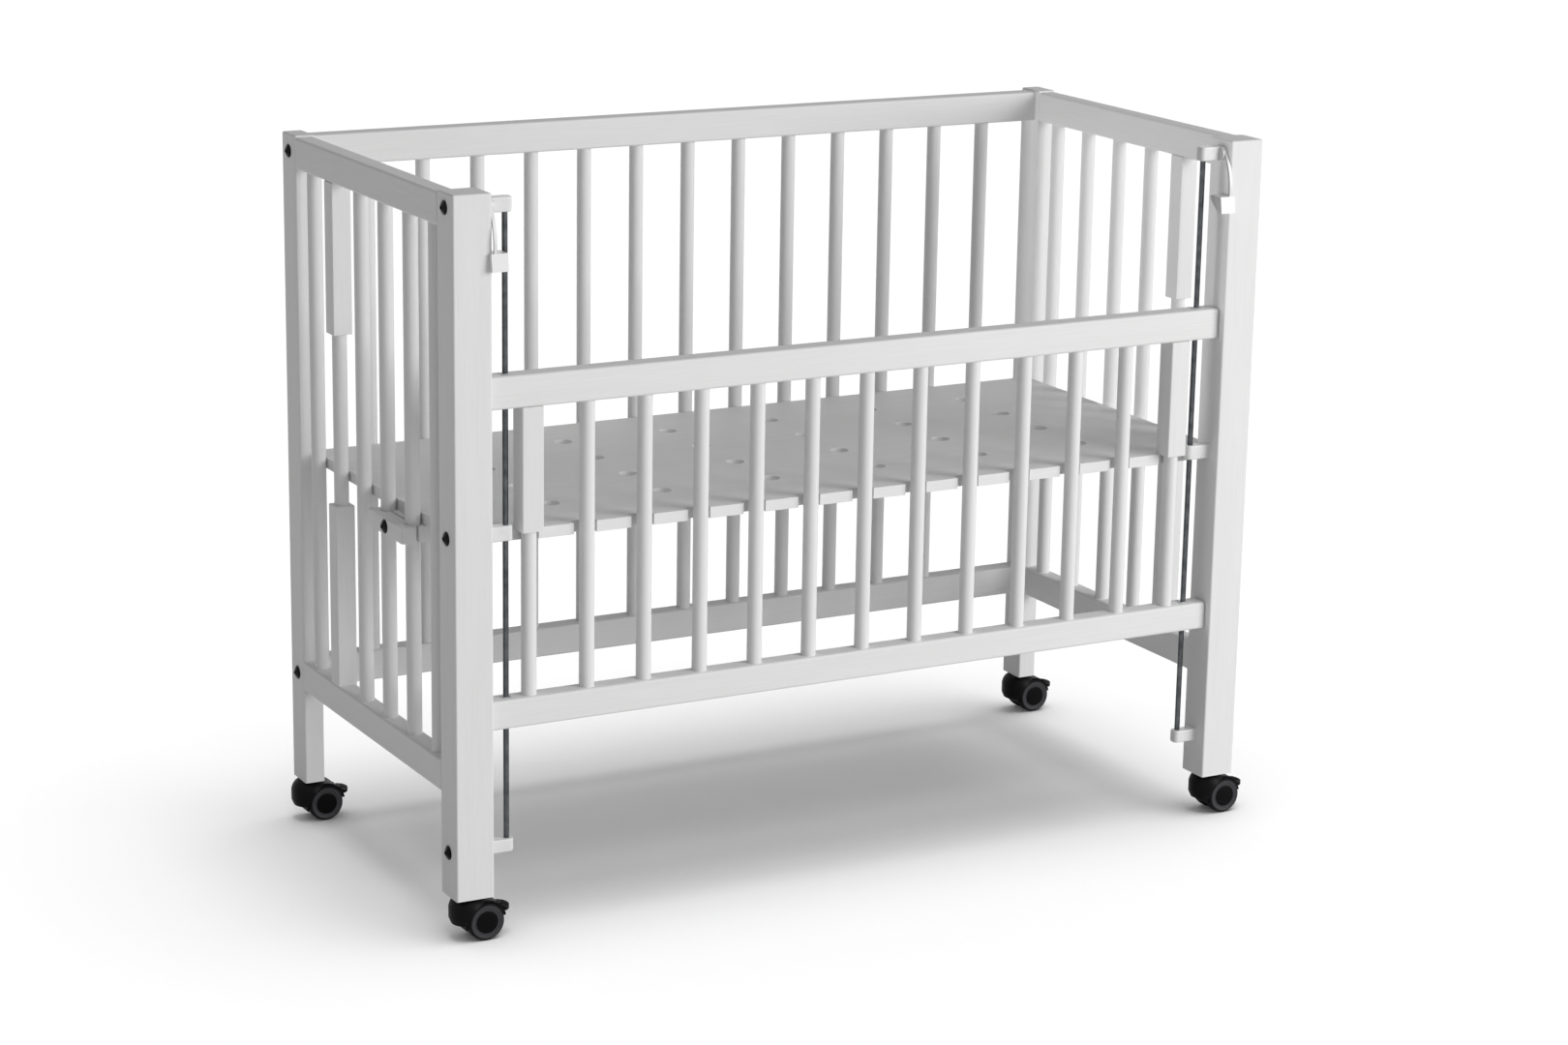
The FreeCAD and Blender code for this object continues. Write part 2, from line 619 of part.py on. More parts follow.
# ---------------------------------------------------------------- rod brackets and rods
def bracket(bolt_z, height, rod_low, rod_high, base_x=FRONT_FACE_X):
    """Right-hand moulded bracket: round-cornered free end, rod bore, seat for the insert."""
    half_t, half_h = BRACKET_T / 2, height / 2
    tip_x = ROD_X - BRACKET_TAIL
    shape = span_box((tip_x, base_x), (ROD_Y - half_t, ROD_Y + half_t), (bolt_z - half_h, bolt_z + half_h))
    free = [e for e in edges_along(shape, 2) if e.Vertexes[0].X < tip_x + 1e-6]
    shape = shape.makeFillet(BRACKET_CORNER, free)
    rims = [e for e in shape.Edges
            if abs(e.Vertexes[0].Z - e.Vertexes[-1].Z) < 1e-6 and e.CenterOfMass.x < base_x - 1e-3]
    shape = shape.makeFillet(BRACKET_EDGE, rims)
    if base_x < FRONT_FACE_X:
        shape = shape.fuse(cylinder(SPIGOT_D, (base_x, ROD_Y, bolt_z), (1, 0, 0), FRONT_FACE_X - base_x))
    seat = cylinder(INSERT_D + 2 * FIT, (FRONT_FACE_X, ROD_Y, bolt_z), (-1, 0, 0), INSERT_LEN + END_FIT)
    rod = cylinder(ROD_D + 2 * FIT, (ROD_X, ROD_Y, rod_low), (0, 0, 1), rod_high - rod_low)
    return shape.cut(seat).cut(rod)


ROD_LOW_Z = LOWER_BOLT_Z - LOWER_BRACKET_H / 2 + ROD_SEAT
ROD_HIGH_Z = UPPER_BOLT_Z + UPPER_BRACKET_H / 2 - ROD_SEAT


def upper_bracket():
    """The latch eye turns on its spigot, between the bracket and the post."""
    return bracket(UPPER_BOLT_Z, UPPER_BRACKET_H, 0, ROD_HIGH_Z + END_FIT,
                   FRONT_FACE_X - EYE_T - 2 * RUN)


def middle_bracket():
    return bracket(MIDDLE_BOLT_Z, MIDDLE_BRACKET_H, 0, HEIGHT)


def lower_bracket():
    return bracket(LOWER_BOLT_Z, LOWER_BRACKET_H, ROD_LOW_Z - END_FIT, HEIGHT)


def bracket_insert(z):
    """Threaded insert in the bracket's mounting face."""
    shape = cylinder(INSERT_D, (FRONT_FACE_X, ROD_Y, z), (-1, 0, 0), INSERT_LEN)
    return shape.cut(cylinder(BOLT_D + 2 * FIT, (FRONT_FACE_X, ROD_Y, z), (-1, 0, 0), INSERT_LEN))


def both_ends(right):
    return [other_end(right), right]


# ---------------------------------------------------------------- latches of the drop side
def latch():
    """Right-hand sprung latch: eye, bowed arm, and a catch with a ramp under its tooth."""
    eye_high = FRONT_FACE_X - RUN
    eye = prism([(ROD_Y, UPPER_BOLT_Z + EYE_R), (ROD_Y + EYE_R, UPPER_BOLT_Z, "via"),
                 (ROD_Y, UPPER_BOLT_Z - EYE_R), (ROD_Y - EYE_REACH, UPPER_BOLT_Z - EYE_R),
                 (ROD_Y - EYE_REACH - EYE_R, UPPER_BOLT_Z, "via"),
                 (ROD_Y - EYE_REACH, UPPER_BOLT_Z + EYE_R)], 0, eye_high - EYE_T, eye_high)
    catch_top = RAISED_RAIL_Z - SLIDE_GAP
    arm_x = FRONT_FACE_X - SLIDE_GAP - ARM_W
    face = -OUT_Y - CATCH_FRONT               # front of the catch at its top
    root = ROD_Y - EYE_REACH - EYE_R          # front of the eye
    arm_mid_z = (UPPER_BOLT_Z + catch_top) / 2
    bow = 0.78                                # share of the reach that is gained half way down
    mid_front = root + (face - root) * bow - 1.0
    arm = prism([(root + 3.0, UPPER_BOLT_Z + EYE_R * 0.7), (mid_front, arm_mid_z, "via"),
                 (face, catch_top - 1.0), (face + ARM_T, catch_top - 1.0),
                 (mid_front + ARM_T, arm_mid_z, "via"), (root + 3.0, UPPER_BOLT_Z - 1.0)],
                0, arm_x, arm_x + ARM_W)
    catch_low = catch_top - CATCH_H
    lip = face - CATCH_LIP
    tip_y = ROD_Y - SIDE_RAIL_T / 2 + CATCH_BITE
    post_y = -OUT_Y - 0.15
    body_high = FRONT_FACE_X - SLIDE_GAP
    body = prism([(face, catch_top), (lip, catch_low), (post_y, catch_low),
                  (tip_y, catch_top - 4.0), (tip_y, catch_top)], 0, body_high - CATCH_W, body_high)
    wing = prism([(face, catch_top), (lip, catch_low), (post_y, catch_low), (post_y, catch_top)],
                 0, body_high - 1.0, FRONT_FACE_X + WING_LAP)
    shape = eye.fuse(arm).fuse(body).fuse(wing)
    bore = cylinder(SPIGOT_D + 2 * RUN, (eye_high - EYE_T, ROD_Y, UPPER_BOLT_Z), (1, 0, 0), EYE_T)
    return shape.cut(bore).removeSplitter()


# ---------------------------------------------------------------- casters (stem at the origin)
AXLE_Z = WHEEL_R
HOOD_IN_R = WHEEL_R + 0.8
HOOD_OUT_R = HOOD_IN_R + HOOD_WALL
HOUSING_TOP_Z = CASTER_HEIGHT - COLLAR_T


def about_axle(profile):
    """Revolve (radius, y) corners about the wheel axle."""
    points = [Vector(r, y, 0) for r, y in profile]
    face = Part.Face(Part.makePolygon(points + points[:1]))
    shape = face.revolve(Vector(0, 0, 0), Vector(0, 1, 0), 360)
    shape.translate(Vector(WHEEL_TRAIL, 0, AXLE_Z))
    return shape


def axle_drum(r, y_low, y_high):
    return cylinder(2 * r, (WHEEL_TRAIL, y_low, AXLE_Z), (0, 1, 0), y_high - y_low)


def both_wheels(profile):
    one = about_axle(profile)
    return [one, one.mirror(Vector(0, 0, 0), Vector(0, 1, 0))]


WHEEL_IN_Y = WHEEL_GAP / 2
WHEEL_OUT_Y = WHEEL_IN_Y + WHEEL_W
AXLE_END_Y = WHEEL_OUT_Y - 3.0


def wheels():
    """Two wheels: rounded tread, recess for the face disc, closed hub."""
    bore = AXLE_D / 2 + RUN
    soft = 1.5
    return both_wheels([
        (bore, WHEEL_IN_Y), (WHEEL_R - soft, WHEEL_IN_Y), (WHEEL_R, WHEEL_IN_Y + soft),
        (WHEEL_R, WHEEL_OUT_Y - soft), (WHEEL_R - soft, WHEEL_OUT_Y), (DISC_D / 2, WHEEL_OUT_Y),
        (DISC_D / 2, WHEEL_OUT_Y - DISC_T), (HUB_D / 2, WHEEL_OUT_Y - DISC_T),
        (HUB_D / 2, WHEEL_OUT_Y), (HUB_D / 2 - 1, WHEEL_OUT_Y + 0.6), (0, WHEEL_OUT_Y + 0.6),
        (0, AXLE_END_Y + END_FIT), (bore, AXLE_END_Y + END_FIT)])


def wheel_discs():
    """Face rings seated in the wheels' recesses."""
    out_r, in_r = DISC_D / 2 - FIT, HUB_D / 2 + FIT
    back = WHEEL_OUT_Y - DISC_T
    return both_wheels([(in_r, back), (out_r, back), (out_r, WHEEL_OUT_Y), (out_r - 2, WHEEL_OUT_Y + 0.7),
                        (in_r, WHEEL_OUT_Y + 0.3)])


def pin_place():
    return WHEEL_TRAIL + LEVER_PIN_X, AXLE_Z + LEVER_PIN_Z


def caster_pins():
    """Wheel axle and the brake lever's pin."""
    x, z = pin_place()
    half_web = WEB_T / 2 - FIT
    return [axle_drum(AXLE_D / 2, -AXLE_END_Y, AXLE_END_Y),
            cylinder(LEVER_PIN_D, (x, -half_web, z), (0, 1, 0), 2 * half_web)]


def ring_sector(in_r, out_r, from_deg, to_deg, half_w):
    """Part of a tube about the wheel axle, between two angles above the +X direction."""
    def at(r, deg):
        return WHEEL_TRAIL + r * math.cos(math.radians(deg)), AXLE_Z + r * math.sin(math.radians(deg))

    mid = (from_deg + to_deg) / 2
    return prism([at(in_r, from_deg), at(out_r, from_deg), (*at(out_r, mid), "via"), at(out_r, to_deg),
                  at(in_r, to_deg), (*at(in_r, mid), "via")], 1, -half_w, half_w)


SHOE_LOW_DEG = 8
SHOE_HIGH_DEG = 38
HOOD_LOW_DEG = 43


def housing():
    """Moulded fork: dome round the stem, hood over the wheels, web between them."""
    drop, inset = DOME_SHOULDER_H, DOME_SHOULDER_INSET
    dome = turned([(0, DOME_LOW_Z), (DOME_R - DOME_FOOT_INSET, DOME_LOW_Z), (DOME_R, DOME_LOW_Z + DOME_FOOT_H),
                   (DOME_R, HOUSING_TOP_Z - drop), (DOME_R - 0.4 * inset, HOUSING_TOP_Z - 0.5 * drop),
                   (DOME_R - inset, HOUSING_TOP_Z - 0.16 * drop), (DOME_TOP_R, HOUSING_TOP_Z), (0, HOUSING_TOP_Z)])
    hood = ring_sector(HOOD_IN_R - 6, HOOD_OUT_R, HOOD_LOW_DEG, 200, HOOD_W / 2)
    web = axle_drum(WHEEL_R - 3.5, -WEB_T / 2, WEB_T / 2)
    link = ring_sector(WHEEL_R - WEB_LINK, HOOD_IN_R, HOOD_LOW_DEG, 200, WEB_T / 2)
    shape = dome.fuse(hood).fuse(web).fuse(link)
    for side in (-1, 1):
        low, high = sorted((side * (WEB_T / 2), side * (DOME_R + 1)))
        shape = shape.cut(axle_drum(HOOD_IN_R, low, high))
    slot_low = WHEEL_TRAIL + LEVER_PIN_X - SLOT_BEHIND_PIN
    slot = span_box((slot_low, WHEEL_TRAIL + HOOD_OUT_R + 1), (-TONGUE_T / 2 - 0.2, TONGUE_T / 2 + 0.2),
                    (AXLE_Z - SLOT_UNDER_AXLE, AXLE_Z + LEVER_PIN_Z + SLOT_OVER_PIN))
    stem = cylinder(STEM_D + 2 * RUN, (0, 0, HOUSING_TOP_Z), (0, 0, -1), STEM_IN_HOUSING + END_FIT)
    shape = shape.cut(slot).cut(stem).cut(axle_drum(AXLE_D / 2 + FIT, -WEB_T, WEB_T))
    x, z = pin_place()
    return shape.cut(cylinder(LEVER_PIN_D + 2 * FIT, (x, -WEB_T, z), (0, 1, 0), 2 * WEB_T))


def brake_lever():
    """Paddle with a rounded tip, a brake shoe in front of both treads, a tongue to its pin."""
    half_w = LEVER_W / 2
    shoe_r = WHEEL_R + SHOE_GAP
    shoe = ring_sector(shoe_r, shoe_r + SHOE_T, SHOE_LOW_DEG, SHOE_HIGH_DEG, half_w)
    root_x = WHEEL_TRAIL + shoe_r + 0.4
    tip_x = WHEEL_TRAIL + LEVER_REACH
    top_z = AXLE_Z + LEVER_PIN_Z + 3.0
    paddle = prism([(root_x, -half_w), (tip_x - 7, -half_w), (tip_x, 0, "via"), (tip_x - 7, half_w),
                    (root_x, half_w)], 2, top_z - LEVER_T, top_z)
    x, z = pin_place()
    knuckle_r = LEVER_PIN_D / 2 + 2.3
    tongue = prism([(x, z + knuckle_r), (root_x + 1.5, z + knuckle_r), (root_x + 1.5, z - 3.5),
                    (x, z - knuckle_r), (x - knuckle_r, z, "via")], 1, -TONGUE_T / 2, TONGUE_T / 2)
    shape = shoe.fuse(paddle).fuse(tongue)
    pin = cylinder(LEVER_PIN_D + 2 * RUN, (x, -TONGUE_T, z), (0, 1, 0), 2 * TONGUE_T)
    return shape.cut(pin).removeSplitter()


def caster_stem():
    """Steel stem with a collar between the housing and the post."""
    low = HOUSING_TOP_Z - STEM_IN_HOUSING
    r = STEM_D / 2
    return turned([(0, low), (r, low), (r, HOUSING_TOP_Z), (COLLAR_D / 2, HOUSING_TOP_Z),
                   (COLLAR_D / 2, CASTER_HEIGHT), (r, CASTER_HEIGHT),
                   (r, CASTER_HEIGHT + STEM_IN_POST), (0, CASTER_HEIGHT + STEM_IN_POST)])


def caster_places():
    """Name and stem position of each caster."""
    places = {}
    for row, rear in (("front", False), ("rear", True)):
        x, y = stem_place(rear)
        places[row + "_left"] = (-x, y)
        places[row + "_right"] = (x, y)
    return places


# ---------------------------------------------------------------- all the pieces
def main():
    os.makedirs("parts", exist_ok=True)

    for name, right in (("front", front_post()), ("rear", rear_post())):
        write(name + "_left_post", other_end(right))
        write(name + "_right_post", right)

    top, low = end_rail(TOP_RAIL_Z, False), end_rail(LOW_RAIL_Z, True)
    write("left_end_top_rail", other_end(top))
    write("right_end_top_rail", top)
    write("left_end_bottom_rail", other_end(low))
    write("right_end_bottom_rail", low)
    write("left_end_slats", [other_end(s) for s in end_slats(LEFT_STOP_Y)])
    write("right_end_slats", end_slats(RIGHT_STOP_Y))
    write("left_end_stop_slat", other_end(stop_slat(LEFT_STOP_Y)))
    write("right_end_stop_slat", stop_slat(RIGHT_STOP_Y))
    write("back_top_rail", back_rail(TOP_RAIL_Z, False))
    write("back_bottom_rail", back_rail(LOW_RAIL_Z, True))
    write("back_slats", [slat(x, BACK_Y, LOW_RAIL_TOP, TOP_RAIL_Z) for x in LONG_XS])

    write("drop_side_top_rail", side_rail(SIDE_TOP_RAIL_Z, RAIL_HEIGHT, False))
    write("drop_side_bottom_rail", side_rail(SIDE_LOW_RAIL_Z, SIDE_LOW_RAIL_H, True))
    write("drop_side_slats", [slat(x, ROD_Y, SIDE_LOW_RAIL_TOP, SIDE_TOP_RAIL_Z) for x in LONG_XS[1:-1]])
    write("drop_side_block_slats", [block_slat(-BLOCK_X), block_slat(BLOCK_X)])
    rail_tops = (SIDE_LOW_RAIL_TOP, SIDE_TOP_RAIL_Z + RAIL_HEIGHT)
    write("rod_bushes", [rod_bush(x, z) for x in (-ROD_X, ROD_X) for z in rail_tops])

    write("bed_board", bed_board())
    write("clamp_outer_blocks", both_clamps(clamp_outer_block()))
    write("clamp_inner_blocks", both_clamps(clamp_inner_block()))
    write("clamp_bolts", clamp_bolts())
    write("clamp_nuts", both_clamps(clamp_nut()))
    write("clamp_screws", clamp_screws() + [turned_round(s) for s in clamp_screws()])

    write("guide_rods", [cylinder(ROD_D, (x, ROD_Y, ROD_LOW_Z), (0, 0, 1), ROD_HIGH_Z - ROD_LOW_Z)
                         for x in (-ROD_X, ROD_X)])
    write("upper_rod_brackets", both_ends(upper_bracket()))
    write("middle_rod_brackets", both_ends(middle_bracket()))
    write("lower_rod_brackets", both_ends(lower_bracket()))
    inserts = [bracket_insert(z) for z in (UPPER_BOLT_Z, MIDDLE_BOLT_Z, LOWER_BOLT_Z)]
    write("bracket_inserts", inserts + [other_end(s) for s in inserts])
    write("left_latch", other_end(latch()))
    write("right_latch", latch())
    write("bracket_bolts", bracket_bolts())
    write("back_panel_bolts", back_panel_bolts())
    write("barrel_nuts", barrel_nuts())
    write("rail_dowels", rail_dowels())

    sub_parts = {"housing": [housing()], "wheels": wheels(), "wheel_discs": wheel_discs(),
                 "pins": caster_pins(), "brake_lever": [brake_lever()]}
    stems = []
    for place, (x, y) in caster_places().items():
        for name, shapes in sub_parts.items():
            moved = [s.translated(Vector(x, y, 0)) for s in shapes]
            write("%s_caster_%s" % (place, name), moved if len(moved) > 1 else moved[0])
        stems.append(caster_stem().translated(Vector(x, y, 0)))
    write("caster_stems", stems)


main()
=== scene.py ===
import json
import math

import bmesh
import bpy
from mathutils import Matrix, Vector

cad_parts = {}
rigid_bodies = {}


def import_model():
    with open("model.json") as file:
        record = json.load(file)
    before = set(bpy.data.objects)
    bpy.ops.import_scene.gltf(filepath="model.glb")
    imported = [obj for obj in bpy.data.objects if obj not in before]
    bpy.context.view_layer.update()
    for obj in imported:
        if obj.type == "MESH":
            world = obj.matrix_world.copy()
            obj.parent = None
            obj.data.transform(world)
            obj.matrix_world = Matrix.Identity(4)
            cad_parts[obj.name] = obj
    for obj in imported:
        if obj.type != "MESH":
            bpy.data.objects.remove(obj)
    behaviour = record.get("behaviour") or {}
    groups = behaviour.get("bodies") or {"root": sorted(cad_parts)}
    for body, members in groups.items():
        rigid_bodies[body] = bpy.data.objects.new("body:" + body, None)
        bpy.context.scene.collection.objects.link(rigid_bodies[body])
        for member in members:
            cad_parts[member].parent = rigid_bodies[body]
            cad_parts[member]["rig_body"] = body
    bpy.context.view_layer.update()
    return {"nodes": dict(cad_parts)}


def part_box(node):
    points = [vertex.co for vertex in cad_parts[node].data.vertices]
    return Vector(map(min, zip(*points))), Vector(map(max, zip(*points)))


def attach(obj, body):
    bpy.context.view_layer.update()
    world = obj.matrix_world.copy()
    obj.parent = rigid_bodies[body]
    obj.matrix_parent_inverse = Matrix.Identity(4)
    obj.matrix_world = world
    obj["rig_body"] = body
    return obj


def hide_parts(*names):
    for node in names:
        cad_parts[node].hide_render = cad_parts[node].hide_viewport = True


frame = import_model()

bl_info = {
    "name": "Bedside Sleeper Crib",
    "version": (1, 0, 0),
    "blender": (4, 5, 0),
    "location": "View3D > Sidebar > Crib",
    "description": "Lacquered timber, moulded plastic and steel of a bedside sleeper crib",
    "category": "Object",
}

NODES = frame["nodes"]
PLACES = ("front_left", "front_right", "rear_left", "rear_right")
MM = 0.001

WELD = 2e-6                             # corners of a CAD mesh this close are one, in metres
ROUND_STEPS, WHEEL_STEPS = 48, 72       # facets round a turned piece and round a wheel
SHARP = 35.0                            # an edge that turns by more degrees than this is an arris
SHARP_MOULDED = 30.0                    # the same on moulded pieces
SHARP_ROD, SHARP_WHEEL = 40.0, 50.0     # degrees from which these are shaded sharp
ROD_PLAY = 0.08 * MM                    # room between a guide rod and its bush

CAMERA_PLACE = (-1.8980, -3.4591, 1.3683)
CAMERA_TURN = (0.5029, 0.254, 0.0171)   # yaw, pitch and roll in radians
SENSOR_MM = 36.0
PAPER_GIVES = 0.92                      # share of its light that white paper gives back
JUST_WHITE = 1.01                       # brightness the floor is made up to outside the shadow
NARROW_SHARE, WIDE_SHARE = 0.58, 0.47   # what each of the floor's two suns gives of its light


# ---------------------------------------------------------------- colours and node helpers
def colour(hex_code):
    """Linear RGB of an sRGB hex colour."""
    parts = [int(hex_code[i:i + 2], 16) / 255 for i in (0, 2, 4)]
    return tuple(c / 12.92 if c <= 0.04045 else ((c + 0.055) / 1.055) ** 2.4 for c in parts)


def add_node(tree, kind, sockets=None, links=None, **settings):
    """A shader node with its settings, its socket values and what feeds its sockets."""
    made = tree.nodes.new(kind)
    for key, value in settings.items():
        setattr(made, key, value)
    for key, value in (sockets or {}).items():
        made.inputs[key].default_value = value
    for key, source in (links or {}).items():
        tree.links.new(source, made.inputs[key])
    return made


def new_material(name, shader):
    """An empty material and its Principled shader, with constant values on the shader's sockets."""
    made = bpy.data.materials.new(name)
    made.use_nodes = True
    tree = made.node_tree
    tree.nodes.clear()
    surface = add_node(tree, "ShaderNodeBsdfPrincipled", shader)
    add_node(tree, "ShaderNodeOutputMaterial", links={"Surface": surface.outputs[0]})
    return made, tree, surface


def stretched_noise(tree, per_metre, detail=2.0, roughness=0.5):
    """Noise whose features are 1 / per_metre long on each axis of the object."""
    place = add_node(tree, "ShaderNodeTexCoord").outputs["Object"]
    scaled = add_node(tree, "ShaderNodeMapping", {"Scale": per_metre}, {"Vector": place})
    return add_node(tree, "ShaderNodeTexNoise",
                    {"Scale": 1.0, "Detail": detail, "Roughness": roughness},
                    {"Vector": scaled.outputs[0]}).outputs[0]


def even_noise(tree, size_mm, detail=2.0, roughness=0.5):
    """Noise whose features have the same size on every axis."""
    return stretched_noise(tree, [1 / (size_mm * MM)] * 3, detail, roughness)


def two_tone(tree, source, low, high, dark, light):
    """A colour ramp between two linear colours over part of a pattern's range."""
    ramp = add_node(tree, "ShaderNodeValToRGB", links={"Fac": source})
    first, second = ramp.color_ramp.elements
    first.position, second.position = low, high
    first.color, second.color = (*dark, 1), (*light, 1)
    return ramp.outputs[0]


def spread(tree, source, low, high):
    """A pattern's middle range carried over to low..high."""
    return add_node(tree, "ShaderNodeMapRange",
                    {"From Min": 0.3, "From Max": 0.7, "To Min": low, "To Max": high},
                    {"Value": source}).outputs[0]


def feed(tree, surface, base, rough):
    """Let one pattern colour the shader and another one roughen it."""
    tree.links.new(base, surface.inputs["Base Color"])
    tree.links.new(rough, surface.inputs["Roughness"])


def relief(tree, surface, coarse, fine, coarse_mm, fine_mm, strength):
    """Two patterns of a given depth as one bump on the shader."""
    first = add_node(tree, "ShaderNodeBump", {"Strength": strength, "Distance": coarse_mm * MM},
                     {"Height": coarse})
    second = add_node(tree, "ShaderNodeBump", {"Strength": strength, "Distance": fine_mm * MM},
                      {"Height": fine, "Normal": first.outputs[0]})
    tree.links.new(second.outputs[0], surface.inputs["Normal"])


# ---------------------------------------------------------------- finishes
def lacquered_beech(settings, axis):
    """Beech, sprayed with satin white lacquer in two coats.

    The eye sees an even neutral white with a soft sheen. The grain shows through only as faint long
    lines, the pores are filled, and the sprayed film has a fine orange peel.
    """
    made, tree, surface = new_material("satin_lacquer_on_beech_" + axis.lower(),
                                       {"IOR": 1.5, "Specular IOR Level": 0.25})
    along, across = 1 / (60 * MM), 1 / (1.6 * MM)     # beech rays and growth lines, drawn coarser
    grain = stretched_noise(tree, [along if a == axis else across for a in "XYZ"], 3.0, 0.6)
    tone = stretched_noise(tree, [along / 4 if a == axis else 1 / (18 * MM) for a in "XYZ"])
    peel = even_noise(tree, 1.5)
    shade = tuple(c * settings.grain_depth for c in settings.lacquer_white)
    base = two_tone(tree, grain, 0.36, 0.58, shade, settings.lacquer_white)
    clouded = add_node(tree, "ShaderNodeMixRGB", {"Color2": (*colour("DCDCDA"), 1)},
                       {"Fac": spread(tree, tone, 0.0, 0.22), "Color1": base})
    feed(tree, surface, clouded.outputs[0],
         spread(tree, peel, settings.sheen - 0.03, settings.sheen + 0.04))
    relief(tree, surface, grain, peel, 0.02, 0.012, 0.42)
    return made


def moulded_abs(settings):
    """White ABS, injection moulded in a polished tool: smoother than the lacquer."""
    made, tree, surface = new_material("moulded_white_abs", {"IOR": 1.53})
    flow, skin = even_noise(tree, 9), even_noise(tree, 0.9)
    shade = tuple(c * 0.97 for c in settings.abs_white)
    feed(tree, surface, two_tone(tree, flow, 0.3, 0.7, shade, settings.abs_white),
         spread(tree, flow, 0.26, 0.34))
    relief(tree, surface, flow, skin, 0.02, 0.006, 0.4)
    return made


def eroded_nylon(name, dark, light, grain_mm, rough, specular):
    """Nylon or polyurethane out of a spark-eroded tool: a dull skin with an even fine grain.

    The tiny pits swallow most of the reflection, so the specular level is low.
    """
    made, tree, surface = new_material(name, {"IOR": 1.53, "Specular IOR Level": specular})
    grain, cloud = even_noise(tree, grain_mm, 4.0, 0.6), even_noise(tree, 12)
    feed(tree, surface, two_tone(tree, grain, 0.35, 0.65, colour(dark), colour(light)),
         spread(tree, cloud, rough, rough + 0.1))
    relief(tree, surface, cloud, grain, 0.03, 0.03, 0.5)
    return made


def worked_metal(name, dark, light, line_mm, rough, axis=None):
    """Metal with its working marks: fine rings round one axis, or the cloudy skin of a plating."""
    made, tree, surface = new_material(name, {"Metallic": 1.0})
    line, length = 1 / (line_mm * MM), 1 / (30 * MM)
    marks = stretched_noise(tree, [line if axis in (None, a) else length for a in "XYZ"], 3.0)
    cloud = even_noise(tree, 14)
    feed(tree, surface, two_tone(tree, cloud, 0.35, 0.65, colour(dark), colour(light)),
         spread(tree, marks, rough - 0.04, rough + 0.06))
    relief(tree, surface, cloud, marks, 0.006, 0.006, 0.35)
    return made


def raw_beech():
    """Unfinished beech dowel, turned and fluted: pale brown with short darker flecks."""
    made, tree, surface = new_material("raw_beech", {"Roughness": 0.7, "IOR": 1.45})
    fleck = even_noise(tree, 3, 3.0, 0.65)
    tree.links.new(two_tone(tree, fleck, 0.4, 0.62, colour("B48A5E"), colour("D2AE82")),
                   surface.inputs["Base Color"])
    relief(tree, surface, fleck, fleck, 0.05, 0.02, 0.4)
    return made


# Material, dark and light tone, grain in mm, roughness, specular level
NYLONS = {
    "housing": ("glass_filled_black_nylon", "070708", "0E0E0F", 0.35, 0.4, 0.07),
    "tread": ("black_polyurethane_tread", "131314", "1A1A1C", 0.6, 0.5, 0.08),
    "ring": ("dark_grey_nylon", "353537", "414144", 0.4, 0.4, 0.12),
    "cap": ("satin_black_nylon_cap", "050506", "09090A", 0.3, 0.34, 0.05),
}
# Material, dark and light tone, working marks in mm, roughness, axis of a ground or turned part
METALS = {
    "ground_rod": ("ground_steel_rod", "46484B", "606265", 0.35, 0.14, "Z"),
    "black_bolt": ("blackened_steel", "121213", "1D1D1F", 0.5, 0.14),
    "zinc": ("zinc_plated_steel", "9EA1A5", "C2C4C6", 0.5, 0.34),
    "brass": ("turned_brass", "B08D4A", "C9A862", 0.4, 0.3, "X"),
}
_finishes = {}


def make_finish(name):
    """A new material for one of the finishes."""
    scene = bpy.context.scene
    if name in NYLONS:
        return eroded_nylon(*NYLONS[name])
    if name in METALS:
        return worked_metal(*METALS[name])
    if name == "abs":
        return moulded_abs(scene.crib_fittings)
    if name == "beech":
        return raw_beech()
    return lacquered_beech(scene.crib_timber, name[-1].upper())


def finish(name):
    """The finish of that name, made once."""
    if name not in _finishes:
        _finishes[name] = make_finish(name)
    return _finishes[name]


# ---------------------------------------------------------------- shaping
def welded(node):
    """A CAD node's mesh as a bmesh whose doubled corners are one."""
    bm = bmesh.new()
    bm.from_mesh(NODES[node].data)
    bmesh.ops.remove_doubles(bm, verts=bm.verts, dist=WELD)
    return bm


def cad_copy(node):
    """A CAD node's mesh as one closed bmesh with its flat faces whole."""
    bm = welded(node)
    bmesh.ops.dissolve_limit(bm, angle_limit=math.radians(1.0), verts=bm.verts, edges=bm.edges,
                             use_dissolve_boundaries=False)
    return bm


def soften(bm, width, angle=SHARP, segments=2):
    """Round every edge that turns by more than an angle."""
    arris = math.radians(angle)
    arrises = [e for e in bm.edges if len(e.link_faces) == 2 and e.calc_face_angle() > arris]
    bmesh.ops.bevel(bm, geom=arrises, offset=width, offset_type="OFFSET", segments=segments,
                    profile=0.5, affect="EDGES", clamp_overlap=True, loop_slide=True, material=-1)
    return bm


def mirrored(side):
    """(radius, height) corners and the same ones below, from the top down."""
    return side + [(radius, -height) for radius, height in reversed(side)]


